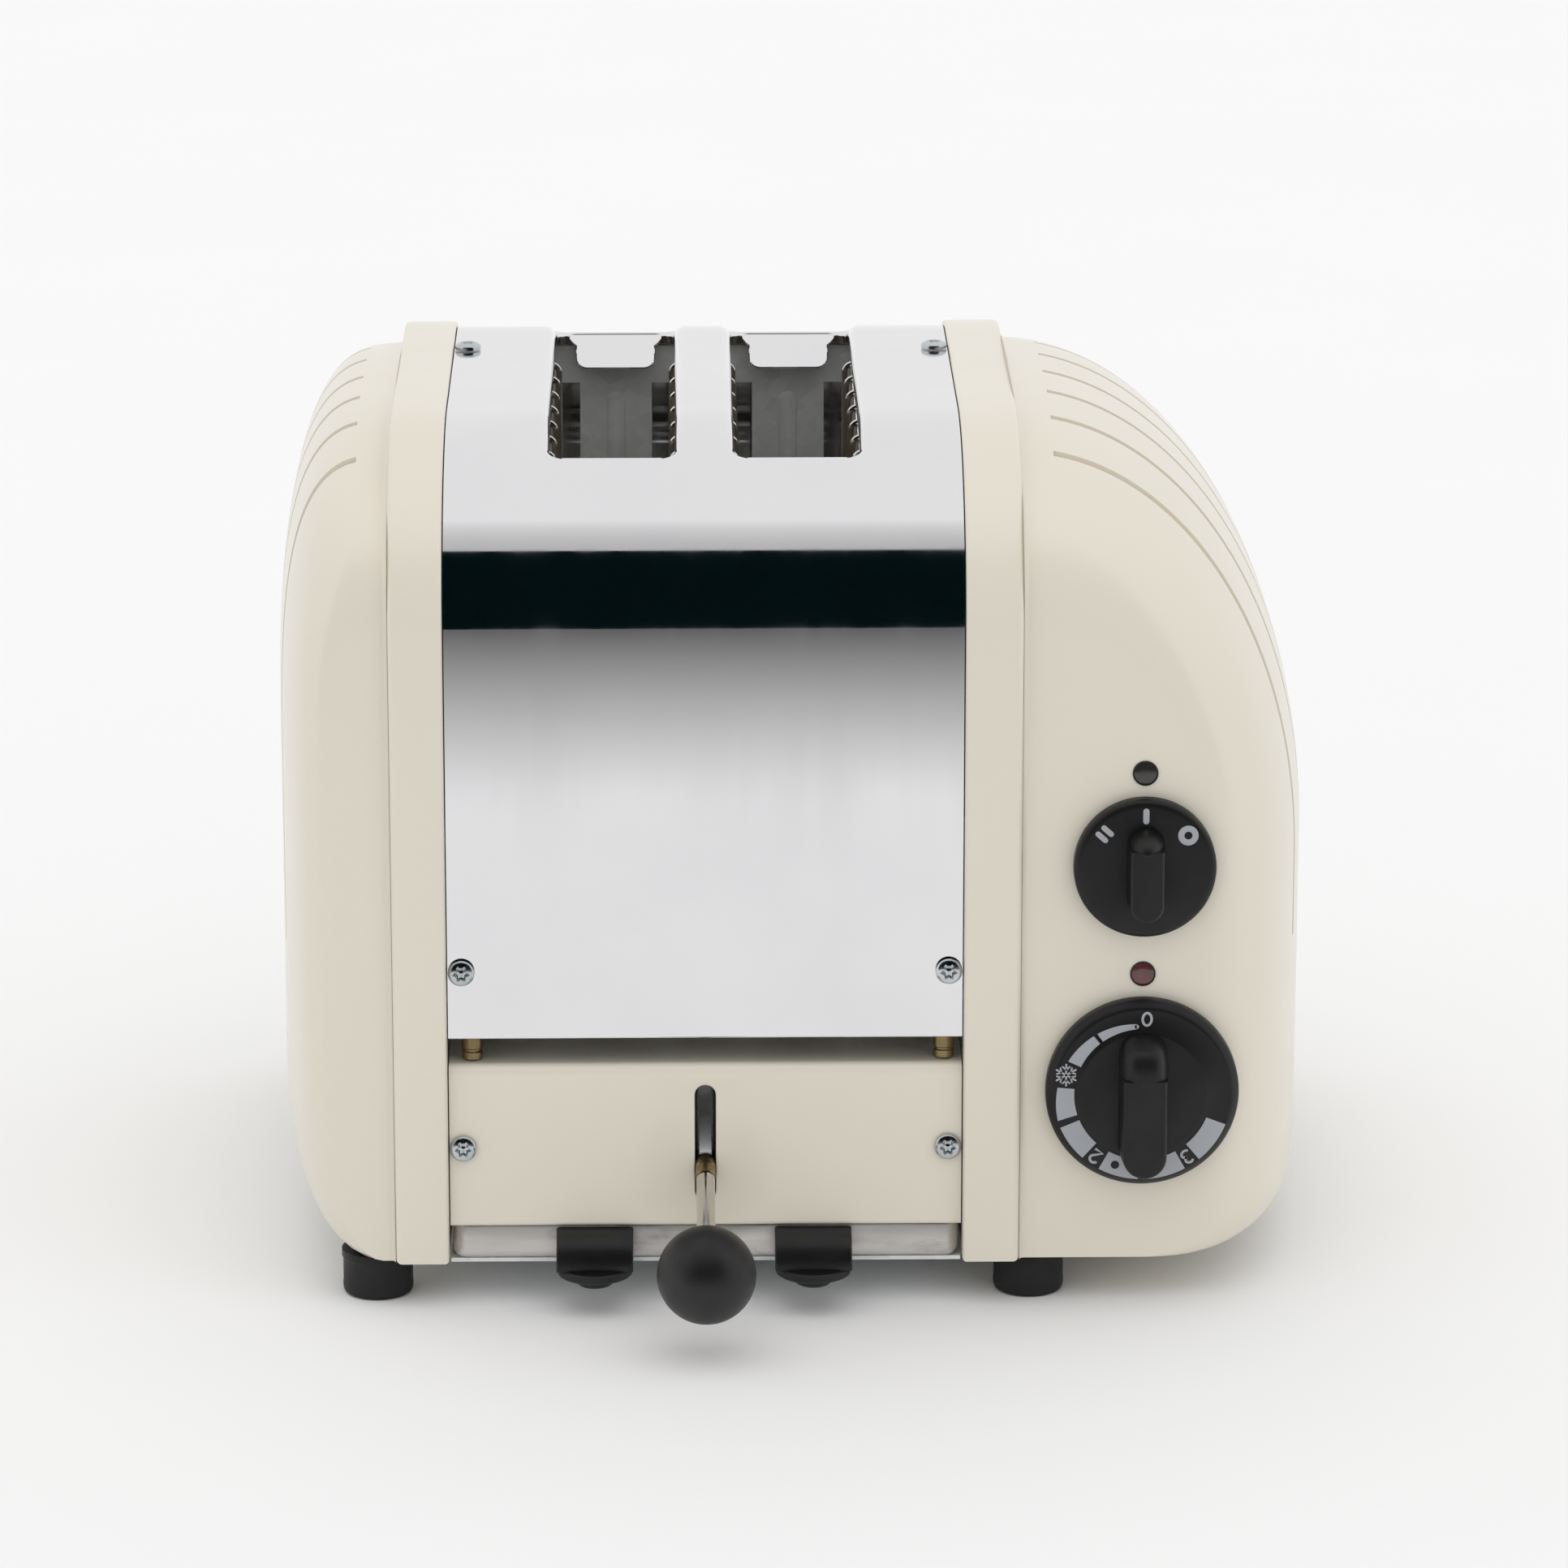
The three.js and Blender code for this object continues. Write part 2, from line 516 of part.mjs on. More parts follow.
// ---- Lever: a seesaw on a cross pin, ball in front and carriage behind ----
function addLever() {
  const member = block([CHAMBER_LEFT, CHAMBER_RIGHT], [-70, -46], [25, 26.5])
    .add(block([LEVER_X - 9, LEVER_X + 9], [-47, 20], [25, 26.5]));
  place('chassis_cross_member', member, ZINC);
  const ears = [-1, 1].map((hand) => {
    const x = [LEVER_X + hand * 6, LEVER_X + hand * 7.5].sort((a, b) => a - b);
    return block(x, [PIVOT_Y - 6, PIVOT_Y + 6], [26.8, PIVOT_Z + 6]);
  });
  const base = block([LEVER_X - 7.5, LEVER_X + 7.5], [PIVOT_Y - 6, PIVOT_Y + 6], [26.8, 28.3]);
  const pinHole = cylinder('x', PIVOT_Y, PIVOT_Z, 2.3, LEVER_X - 10, LEVER_X + 10);
  place('lever_bracket', join([base, ...ears]).subtract(pinHole), ZINC);
  place('lever_pivot_pin', cylinder('x', PIVOT_Y, PIVOT_Z, 2, LEVER_X - 9, LEVER_X + 9), STEEL);

  const lever = new THREE.Group();
  lever.position.set(LEVER_X, PIVOT_Y, PIVOT_Z);
  lever.rotation.x = LEVER_TILT;
  casing.add(lever);
  const arm = join([
    block([-1.5, 1.5], [GAP - BUSH_START, ARM_REAR], [-2.5, 2.5]),
    cylinder('x', 0, 0, 5.5, -3.5, 3.5),
    cylinder('x', ARM_REAR, 0, 3, -4, 4),
  ]).subtract(cylinder('x', 0, 0, 2.3, -5, 5));
  place('lever_arm', arm, ZINC, lever);
  place('lever_bush', cylinder('y', 0, 0, 2.45, -BUSH_START - BUSH_LENGTH, -BUSH_START), BRASS, lever);
  const rodEnd = -BALL_DISTANCE + BALL_RADIUS - 4;
  place('lever_rod', cylinder('y', 0, 0, ROD_RADIUS, rodEnd, -BUSH_START - BUSH_LENGTH - GAP), STEEL, lever);
  const ball = solid(new THREE.SphereGeometry(BALL_RADIUS, 24, 16).translate(0, -BALL_DISTANCE, 0));
  const socket = cylinder('y', 0, 0, ROD_RADIUS + GAP, rodEnd - GAP, -BALL_DISTANCE + BALL_RADIUS + 2);
  place('lever_ball', ball.subtract(socket), BLACK, lever);

  const guide = block([LEVER_X - 9, LEVER_X + 9], [-95.8, -91.5], [23.5, 60]);
  const ridges = [];
  for (let index = 0; index < 5; index += 1) {
    const z = 35 + index * 4.6;
    ridges.push(block([LEVER_X - 6, LEVER_X + 6], [-96.3, -95.5], [z, z + 1.2]));
  }
  const slit = block([LEVER_X - 1.9, LEVER_X + 1.9], [-100, -80], [27, 57]);
  place('lever_guide', join([guide, ...ridges]).subtract(slit), BLACK);
}

// ---- Controls on the right casting ----
function knobSolid(radius, thickness, grip) {
  const disc = turned([
    [0, 0], [radius - 0.8, 0], [radius, 0.8], [radius, thickness - 1.4],
    [radius - 1.6, thickness], [0, thickness],
  ], 40);
  const bar = prism('z', roundedRectangle(
    -grip.width / 2, grip.width / 2, grip.low, grip.high, grip.width / 2 - 0.05),
    thickness - 1, grip.top, 4);
  return disc.add(bar).subtract(cylinder('z', 0, 0, SHAFT_RADIUS + GAP, -1, 6));
}

function addControls() {
  const faceY = -COVER_HALF_DEPTH - 0.6;
  const controls = [
    ['selector', SELECTOR_Z, knobSolid(SELECTOR_RADIUS, 4.5, { width: 8.6, low: -13, high: 10, top: 14 })],
    ['timer', TIMER_Z, knobSolid(TIMER_RADIUS, 5, { width: 11, low: -19.5, high: 15.5, top: 17 })],
  ];
  for (const [name, z, knob] of controls) {
    const mesh = place(`${name}_knob`, knob, BLACK);
    mesh.rotation.x = Math.PI / 2;
    mesh.position.set(KNOB_X, faceY, z);
    place(`${name}_shaft`, cylinder('y', KNOB_X, z, SHAFT_RADIUS, -106.2, -88.3), STEEL);
  }
  const shaftClear = (z) => cylinder('y', KNOB_X, z, SHAFT_RADIUS + 0.5, -100, -87.8);
  const timer = cylinder('y', KNOB_X, TIMER_Z, 18, -94, -72, 6).subtract(shaftClear(TIMER_Z));
  place('timer_body', timer, ZINC);
  const bell = turned([[0, 0], [3, 0], [3, 4.5], [12, 5], [16, 1], [17.2, 1], [13, 6.2], [0, 6.2]], 20);
  const gong = place('timer_bell', bell, STEEL);
  gong.rotation.x = -Math.PI / 2;
  gong.position.set(KNOB_X, -72 + GAP, TIMER_Z);
  const selector = block([KNOB_X - 14, KNOB_X + 14], [-94, -76], [SELECTOR_Z - 14, SELECTOR_Z + 12]);
  place('selector_switch', selector.subtract(shaftClear(SELECTOR_Z)), BLACK);
  for (const [name, z] of Object.entries(LAMP_HEIGHTS)) {
    const lens = turned([[0, 0], [LAMP_RADIUS, 0], [LAMP_RADIUS, 8.2], [2.6, 8.8], [0, 9]], 18);
    const lamp = place(name, lens, name === 'lower_lamp' ? RED_LENS : DARK_LENS);
    lamp.rotation.x = Math.PI / 2;
    lamp.position.set(KNOB_X, -91.6, z);
  }
  place('terminal_block', block([58, 94], [58, 74], [BOTTOM + CAST_WALL + GAP, 32]), BLACK);
}

// ---- Crumb tray with its two grips ----
function clipSolid() {
  const half = CLIP_WIDTH / 2;
  const back = TRAY_FRONT - GAP;
  const low = TRAY_BOTTOM - 0.4;
  const radius = TRAY_TOP - TRAY_BOTTOM;
  const grip = new THREE.Shape();
  grip.moveTo(back, low);
  grip.lineTo(back, low + radius);
  grip.absarc(back, low, radius, Math.PI / 2, Math.PI, false);
  grip.closePath();
  const disc = cylinder('z', 0, back - 3.4, half, CLIP_DISC_BOTTOM, low + 0.2);
  const button = cylinder('z', 0, back - 4, CLIP_BUTTON_RADIUS, CLIP_BUTTON_BOTTOM, CLIP_DISC_BOTTOM + 0.2, 5);
  const inFront = block([-half - 1, half + 1], [back - 20, back], [0, low + 1]);
  return prism('x', grip, -half, half, 3).add(disc.add(button).intersect(inFront));
}

function addTray() {
  const x = [-84.8, 40.9];
  const inside = block([x[0] + TRAY_SHEET, x[1] - TRAY_SHEET],
    [TRAY_FRONT + TRAY_SHEET, TRAY_REAR - TRAY_SHEET], [TRAY_BOTTOM + 1, TRAY_TOP + 1]);
  const pan = block(x, [TRAY_FRONT, TRAY_REAR], [TRAY_BOTTOM, TRAY_TOP]).subtract(inside);
  place('crumb_tray', pan, STEEL);
  for (const [name, middle] of Object.entries(CLIP_CENTRES)) {
    place(name, clipSolid(), BLACK).position.x = middle;
  }
}

// ---- Feet ----
function addFeet() {
  const height = BOTTOM - GAP;
  for (const [row, way] of [['front', -1], ['rear', 1]]) {
    for (const [hand, x] of Object.entries(FOOT_X)) {
      const foot = turned([
        [0, 0], [FOOT_RADIUS - 2.4, 0], [FOOT_RADIUS - 0.9, 0.6], [FOOT_RADIUS - 0.2, 2.2],
        [FOOT_RADIUS - 0.2, height - 2], [FOOT_RADIUS, height], [0, height],
      ], 24);
      place(`foot_${row}_${hand}`, foot, RUBBER).position.set(x, way * FOOT_Y, 0);
    }
  }
}

addCastings();
addCover();
addPanels();
addChamber();
addElements();
addGuards();
addCarriage();
addLever();
addControls();
addTray();
addFeet();
addScrews();

export default casing;
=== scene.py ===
"""Looks of the two-slot pop up toaster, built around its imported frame.

Shapes are written in millimetres in the casing's own frame: front at -Y, Y = 0 in the middle of the casing's
depth, Z = 0 on the worktop. place() turns them into metres in the row frame.
"""
import json
import math

import bmesh
import bpy
import numpy as np
from mathutils import Matrix, Vector
from mathutils.geometry import delaunay_2d_cdt


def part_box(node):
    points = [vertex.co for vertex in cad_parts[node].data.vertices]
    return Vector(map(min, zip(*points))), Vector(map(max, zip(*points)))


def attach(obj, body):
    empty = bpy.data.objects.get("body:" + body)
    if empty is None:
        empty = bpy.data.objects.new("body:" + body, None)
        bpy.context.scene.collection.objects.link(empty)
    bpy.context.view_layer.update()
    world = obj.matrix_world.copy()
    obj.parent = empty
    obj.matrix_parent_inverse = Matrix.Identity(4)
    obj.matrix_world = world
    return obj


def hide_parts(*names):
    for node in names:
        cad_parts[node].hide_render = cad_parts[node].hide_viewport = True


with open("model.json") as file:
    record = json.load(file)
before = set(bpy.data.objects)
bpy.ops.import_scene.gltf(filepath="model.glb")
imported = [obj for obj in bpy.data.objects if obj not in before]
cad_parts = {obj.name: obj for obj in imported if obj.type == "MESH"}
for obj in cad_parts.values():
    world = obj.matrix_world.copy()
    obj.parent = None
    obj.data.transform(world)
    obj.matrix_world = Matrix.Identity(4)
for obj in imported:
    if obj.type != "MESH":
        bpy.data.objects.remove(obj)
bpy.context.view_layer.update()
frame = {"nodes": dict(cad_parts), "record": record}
MM = 0.001

# ---- Driving dimensions, from the frame where it holds them ----
cover_low, cover_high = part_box("chrome_cover")
LEFT, RIGHT = -85.3, 41.4                 # the chrome cover's two sides
SHIFT = Vector((cover_low.x / MM - LEFT, (cover_low.y + cover_high.y) / 2 / MM, 0))
HALF = (cover_high.y - cover_low.y) / 2 / MM
TOP = cover_high.z / MM
COVER_BOTTOM = cover_low.z / MM
SHOULDER_RUN = 54                         # elliptical shoulder of the cover
SHOULDER_RISE = 42.5
FLAT_HALF = HALF - SHOULDER_RUN
SPRING = TOP - SHOULDER_RISE
FLOOR_GAP = 11.8                          # underside of the castings

SLOT_CENTRES = (-44.3, 1.2)
SLOT_HALF_WIDTH = 15.5
SLOT_HALF_LENGTH = 73
SLOT_CORNER = 5
TONGUE_LENGTH = 11
END_PLATE_Y = 75
TONGUE_LEAN = 42                          # degrees from upright
SLOT_ROLL = 1.2                           # radius of the rolled slot ends
SLOT_SIDE_ROLL = 1.6                      # and how much larger it is along the sides

RIM_PROUD = 3
RIM_PROUD_TOP = 1.2
WALL_DEPTH, WALL_INSET = 5, 0.6           # the inner wall under the dome's edge
DOME_FALL = 42
DOME_DEPTH_POWER = 2 / 2.5
DOME_RISE_POWER = 2 / 2.7
VENTS = (-66, -44, -22, 0, 22, 44, 66)
VENT_DEPTH = 1.9
VENT_BOTTOM = 85
CASTINGS = {
    "left": dict(side=-1, rim=(85.6, 98.9), end=128.8, spring=130, top=215, power=2 / 3.1,
                 corner=15, foot_inset=15, foot_height=36),
    "right": dict(side=1, rim=(41.7, 55.8), end=130, spring=107, top=216.1, power=2 / 2,
                  corner=30, foot_inset=14, foot_height=14),
}

PANEL_TOP, PANEL_BOTTOM = 62.5, 20.7
LEVER_X = -22
PIVOT = Vector((LEVER_X, -58, 51))
LEVER_TILT = math.radians(19.6)
CARD_Y, CARD_HALF, CARD_TOP, VEIL_TOP = -0.76, 0.9, 0.98, 2.2   # reflected cards, in metres
KNOB_X = 85.8
KNOB_BACK = -100.6
PRINT_DEPTH = 0.12                        # thickness of the marks printed on the dials
SCREW_X = (-81.9, 38)


# ---- Shape making ----
class Shape:
    """Points, faces and, where they are known, the normals of one piece."""

    def __init__(self):
        self.points, self.faces, self.normals, self.index = [], [], [], {}

    def point(self, p, normal=None, weld=False):
        key = tuple(round(c, 3) for c in (*p, *(normal or ())))
        if weld and key in self.index:
            return self.index[key]
        self.points.append(tuple(p))
        self.normals.append(normal)
        self.index[key] = len(self.points) - 1
        return len(self.points) - 1

    def grid(self, rows, closed=False):
        """Quads between rows of equal length; closed joins the last point of each row to its first."""
        ids = [[self.point(p) for p in row] for row in rows]
        self.join(ids, closed)
        return ids

    def join(self, ids, closed=False):
        """Quads between rows of points that are already in the shape."""
        count = len(ids[0])
        for a, b in zip(ids, ids[1:]):
            for i in range(count if closed else count - 1):
                j = (i + 1) % count
                self.faces.append((a[i], a[j], b[j], b[i]))

    def loft(self, loops, caps=(True, True)):
        """A skin over closed loops, with flat ends where caps says so."""
        ids = self.grid(loops, closed=True)
        if caps[0]:
            self.faces.append(tuple(reversed(ids[0])))
        if caps[1]:
            self.faces.append(tuple(ids[-1]))

    def add(self, other, move=Matrix.Identity(4)):
        offset = len(self.points)
        self.points += [tuple(move @ Vector(p)) for p in other.points]
        self.normals += [None] * len(other.points)
        self.faces += [tuple(i + offset for i in face) for face in other.faces]
        return self


def arc(cx, cy, rx, ry, start, end, steps):
    turns = [math.radians(start + (end - start) * i / steps) for i in range(steps + 1)]
    return [(cx + rx * math.cos(a), cy + ry * math.sin(a)) for a in turns]


def rounded_rectangle(x0, x1, y0, y1, radius, steps=6):
    right, left, low, high = x1 - radius, x0 + radius, y0 + radius, y1 - radius
    corners = ((right, low, -90), (right, high, 0), (left, high, 90), (left, low, 180))
    return [p for x, y, turn in corners for p in arc(x, y, radius, radius, turn, turn + 90, steps)]


def revolve(profile, sides=48):
    """A turned solid about +Z from (radius, height) pairs; a zero radius closes an end."""
    shape = Shape()
    loops = []
    for radius, height in profile:
        r = max(radius, 1e-4)
        loops.append([(r * math.cos(a), r * math.sin(a), height)
                      for a in (math.tau * i / sides for i in range(sides))])
    shape.loft(loops)
    return shape


def tube(path, radius, sides=8):
    """A round wire along a list of points."""
    shape = Shape()
    path = [Vector(p) for p in path]
    loops = []
    side = None
    for i, p in enumerate(path):
        along = (path[min(i + 1, len(path) - 1)] - path[max(i - 1, 0)]).normalized()
        if side is None:
            side = along.orthogonal().normalized()
        side = (side - along * side.dot(along)).normalized()
        other = along.cross(side)
        loops.append([tuple(p + side * (radius * math.cos(a)) + other * (radius * math.sin(a)))
                      for a in (math.tau * k / sides for k in range(sides))])
    shape.loft(loops)
    return shape


def slab(outline, low, high, edge=0.3):
    """An outline in X and Y given thickness along Z, with a small bevel round both faces."""
    n = len(outline)
    centre = Vector((sum(p[0] for p in outline) / n, sum(p[1] for p in outline) / n))
    inner = []
    for i, p in enumerate(outline):
        before, after = Vector(outline[i - 1]), Vector(outline[(i + 1) % n])
        along = after - before
        inward = Vector((-along.y, along.x)).normalized()
        if inward.dot(centre - Vector(p)) < 0:
            inward = -inward
        inner.append(tuple(Vector(p) + inward * edge))
    shape = Shape()
    shape.loft([[(*p, low) for p in inner], [(*p, low + edge) for p in outline],
                [(*p, high - edge) for p in outline], [(*p, high) for p in inner]])
    return shape


def block(x, y, z, edge=0.3):
    return slab([(x[0], y[0]), (x[1], y[0]), (x[1], y[1]), (x[0], y[1])], z[0], z[1], edge)


def at(x, y=0.0, z=0.0):
    return Matrix.Translation((x, y, z))


def facing(way, x=0.0, y=0.0, z=0.0):
    """Turns a piece made about +Z to point along -Y (way -1) or +Y (way 1), and moves it."""
    return at(x, y, z) @ Matrix.Rotation(-way * math.pi / 2, 4, "X")


LOOKS = {}


def place(name, shape, look, body="root", replaces=(), sharp=32, move=Matrix.Identity(4)):
    """Makes the Blender object of a shape, in the row frame, and ties it to its body, slot and CAD nodes."""
    points = [move @ Vector(p) for p in shape.points]
    mesh = bpy.data.meshes.new(name)
    mesh.from_pydata([tuple((p + SHIFT) * MM) for p in points], [], shape.faces)
    exact = all(n is not None for n in shape.normals)
    if exact:
        turn_faces_to_normals(mesh, shape.normals)
    else:
        edit = bmesh.new()
        edit.from_mesh(mesh)
        bmesh.ops.remove_doubles(edit, verts=edit.verts, dist=2e-6)
        bmesh.ops.recalc_face_normals(edit, faces=edit.faces)
        edit.to_mesh(mesh)
        edit.free()
    mesh.polygons.foreach_set("use_smooth", [True] * len(mesh.polygons))
    if exact:
        mesh.normals_split_custom_set_from_vertices(shape.normals)
    else:
        mesh.set_sharp_from_angle(angle=math.radians(sharp))
    piece = bpy.data.objects.new(name, mesh)
    bpy.context.scene.collection.objects.link(piece)
    mesh.materials.append(LOOKS[look])
    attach(piece, body)
    if replaces:
        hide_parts(*replaces)
    return piece


def turn_faces_to_normals(mesh, normals):
    edit = bmesh.new()
    edit.from_mesh(mesh)
    edit.normal_update()
    wrong = [f for f in edit.faces
             if sum((f.normal.dot(Vector(normals[v.index])) for v in f.verts), 0.0) < 0]
    bmesh.ops.reverse_faces(edit, faces=wrong)
    edit.to_mesh(mesh)
    edit.free()


# ---- Materials ----
class Nodes:
    """A material's node tree with one Principled shader, in object coordinates."""

    def __init__(self, name, colour, roughness, metallic=0.0, **constants):
        self.material = bpy.data.materials.new(name)
        self.material.use_nodes = True
        self.tree = self.material.node_tree
        self.shader = self.tree.nodes["Principled BSDF"]
        constants.update(Base_Color=(*colour, 1), Roughness=roughness, Metallic=metallic)
        for key, value in constants.items():
            self.shader.inputs[key.replace("_", " ")].default_value = value
        self.colour, self.roughness = colour, roughness
        self.coordinates = self.node("TexCoord").outputs["Object"]
        LOOKS[name] = self.material

    def node(self, kind):
        return self.tree.nodes.new("ShaderNode" + kind)

    def link(self, a, b):
        self.tree.links.new(a, b)

    def noise(self, scale, stretch=(1, 1, 1), detail=4.0, rough=0.55):
        mapping = self.node("Mapping")
        mapping.inputs["Scale"].default_value = stretch
        self.link(self.coordinates, mapping.inputs["Vector"])
        node = self.node("TexNoise")
        for key, value in (("Scale", scale), ("Detail", detail), ("Roughness", rough)):
            node.inputs[key].default_value = value
        self.link(mapping.outputs["Vector"], node.inputs["Vector"])
        return node.outputs["Fac"]

    def cells(self, scale):
        node = self.node("TexVoronoi")
        node.inputs["Scale"].default_value = scale
        self.link(self.coordinates, node.inputs["Vector"])
        split = self.node("SeparateColor")
        self.link(node.outputs["Color"], split.inputs["Color"])
        return split.outputs["Red"]

    def spread(self, value, low, high, start=0.3, end=0.7):
        node = self.node("MapRange")
        for key, number in zip(("From Min", "From Max", "To Min", "To Max"), (start, end, low, high)):
            node.inputs[key].default_value = number
        self.link(value, node.inputs["Value"])
        return node.outputs["Result"]

    def tint(self, value, other, amount=1.0, start=0.35, end=0.65):
        """Mixes the base colour towards another by a pattern."""
        mix = self.node("Mix")
        mix.data_type = "RGBA"
        socket = self.shader.inputs["Base Color"]
        if socket.is_linked:
            self.link(socket.links[0].from_socket, mix.inputs["A"])
        else:
            mix.inputs["A"].default_value = (*self.colour, 1)
        mix.inputs["B"].default_value = (*other, 1)
        self.link(self.spread(value, 0.0, amount, start, end), mix.inputs["Factor"])
        self.link(mix.outputs["Result"], socket)
        return self

    def vary_roughness(self, value, low, high, start=0.35, end=0.65):
        self.link(self.spread(value, low, high, start, end), self.shader.inputs["Roughness"])
        return self

    def bump(self, value, distance, strength=1.0):
        node = self.node("Bump")
        node.inputs["Strength"].default_value = strength
        node.inputs["Distance"].default_value = distance
        self.link(value, node.inputs["Height"])
        previous = self.shader.inputs["Normal"]
        if previous.is_linked:
            self.link(previous.links[0].from_socket, node.inputs["Normal"])
        self.link(node.outputs["Normal"], previous)
        return self


def enamel():
    n = Nodes("cream_enamel", (0.735, 0.685, 0.585), 0.3, Coat_Weight=0.35, Coat_Roughness=0.12)
    n.tint(n.noise(7, detail=2), (0.722, 0.67, 0.568), 0.7)
    n.tint(n.noise(1400, detail=1), (0.69, 0.635, 0.53), 0.16, 0.6, 0.8)
    n.vary_roughness(n.noise(60, detail=3), 0.28, 0.34)
    n.bump(n.noise(420, detail=2), 0.00004, 0.15)


def chrome():
    n = Nodes("polished_chrome", (0.81, 0.80, 0.812), 0.07, 1.0)
    n.tint(n.noise(35, detail=6), (0.755, 0.75, 0.765), 0.5)
    n.vary_roughness(n.noise(90, (1, 1, 0.06), detail=6), 0.045, 0.1)
    n.bump(n.noise(1500, (1, 1, 0.02), detail=2), 0.00002, 0.08)
    n.bump(n.noise(14, detail=1), 0.0003, 0.06)


def metal(name, colour, roughness, grain, stretch=(1, 1, 1), dark=0.75, depth=0.00003):
    """Bright metal with a drawn or brushed grain and slightly darker patches."""
    n = Nodes(name, colour, roughness, 1.0)
    shade = tuple(c * dark for c in colour)
    n.tint(n.noise(45, detail=6), shade, 0.7)
    n.vary_roughness(n.noise(grain, stretch), roughness * 0.75, roughness * 1.3)
    n.bump(n.noise(grain, stretch, detail=3), depth, 0.35)
    return n


def galvanised():
    n = Nodes("galvanised_steel", (0.86, 0.89, 0.89), 0.45, 0.12)
    n.tint(n.cells(260), (0.72, 0.76, 0.76), 0.75, 0.1, 0.9)
    n.tint(n.noise(30, detail=6), (0.6, 0.63, 0.63), 0.45, 0.5, 0.8)
    n.vary_roughness(n.cells(260), 0.4, 0.6, 0.0, 1.0)
    n.bump(n.noise(700, detail=2), 0.00003, 0.3)


def tray_metal():
    n = Nodes("tray_aluminium", (0.66, 0.63, 0.61), 0.36, 0.85)
    n.tint(n.noise(70, (0.35, 1, 1), detail=7, rough=0.7), (0.3, 0.285, 0.275), 0.85, 0.52, 0.7)
    n.tint(n.noise(260, (0.2, 1, 1), detail=4), (0.8, 0.78, 0.76), 0.6, 0.55, 0.75)
    n.vary_roughness(n.noise(120, (0.2, 1, 1), detail=6), 0.25, 0.55)
    n.bump(n.noise(400, (0.08, 1, 1), detail=4), 0.00005, 0.4)


def plastic(name, colour, roughness, grain, depth, pale=1.8, **constants):
    """Moulded black plastic or rubber with a fine grain and a slightly rubbed, paler bloom."""
    n = Nodes(name, colour, roughness, 0.0, **constants)
    n.tint(n.noise(55, detail=6), tuple(c * pale for c in colour), 0.55, 0.45, 0.75)
    n.vary_roughness(n.noise(120, detail=4), roughness * 0.85, min(1.0, roughness * 1.15))
    n.bump(n.noise(grain, detail=3, rough=0.65), depth, 0.5)
    return n


def lens(name, colour):
    n = Nodes(name, colour, 0.16, 0.0, Coat_Weight=0.6, Coat_Roughness=0.06)
    n.tint(n.noise(240, detail=3), tuple(c * 0.6 for c in colour), 0.7)
    n.vary_roughness(n.noise(300), 0.12, 0.22)
    n.bump(n.noise(500, detail=1), 0.00005, 0.2)


def mica():
    n = Nodes("mica", (0.42, 0.36, 0.26), 0.45)
    n.tint(n.noise(60, (1, 1, 1), detail=6), (0.2, 0.16, 0.11), 0.8)
    n.tint(n.noise(320, detail=3), (0.62, 0.55, 0.42), 0.5, 0.55, 0.75)
    n.bump(n.noise(220, detail=5), 0.0001, 0.4)


def make_looks():
    enamel()
    chrome()
    galvanised()
    tray_metal()
    metal("bright_steel", (0.74, 0.72, 0.69), 0.2, 500, (1, 1, 0.1))
    metal("plated_screw", (0.6, 0.64, 0.66), 0.2, 600)
    metal("brass", (0.34, 0.26, 0.135), 0.36, 700, (1, 1, 6), dark=0.6)
    metal("resistance_tape", (0.42, 0.38, 0.34), 0.4, 400, dark=0.55)
    mica()
    plastic("knob_plastic", (0.008, 0.008, 0.0084), 0.4, 1400, 0.00004, Specular_IOR_Level=0.34)
    plastic("ball_plastic", (0.007, 0.007, 0.0075), 0.46, 2200, 0.00012, Specular_IOR_Level=0.5)
    plastic("black_plastic", (0.007, 0.007, 0.0075), 0.36, 1200, 0.00008, Specular_IOR_Level=0.4)
    plastic("foot_rubber", (0.011, 0.011, 0.0115), 0.6, 900, 0.0001, Specular_IOR_Level=0.35)
    plastic("dial_print", (0.36, 0.375, 0.4), 0.6, 3000, 0.00002, pale=1.12)
    lens("dark_lens", (0.03, 0.026, 0.024))
    lens("red_lens", (0.12, 0.03, 0.03))


# ---- End castings ----
def dome_section(casting, t):
    """Depth, reach and rise of the dome at the turn t: 0 is its front face, pi its rear face."""
    roundness = max(math.sin(t), 0.0) ** DOME_RISE_POWER
    depth = HALF * abs(math.cos(t)) ** DOME_DEPTH_POWER
    reach = casting["end"] - casting["rim"][1] - casting["corner"] * (1 - roundness)
    rise = casting["top"] - casting["spring"] - DOME_FALL * (1 - roundness)
    return math.copysign(depth, -math.cos(t)), reach, rise


def vent_profile(across):
    return 1.0 if across < 0.9 else max(0.0, 1 - (across - 0.9) / 0.35)


def casting_columns():
    turns = []
    half = [math.pi / 2 * (i / 30) ** 1.6 for i in range(31)]
    for t in half + [math.pi - t for t in reversed(half[:-1])]:
        y = math.copysign(HALF * abs(math.cos(t)) ** DOME_DEPTH_POWER, -math.cos(t))
        if all(abs(y - vent) > 1.7 for vent in VENTS):
            turns.append(t)
    for vent in VENTS:
        for step in (-1.3, -0.9, 0, 0.9, 1.3):
            y = vent + step
            t = math.acos((abs(y) / HALF) ** (1 / DOME_DEPTH_POWER))
            turns.append(t if y < 0 else math.pi - t)
    return sorted(turns)


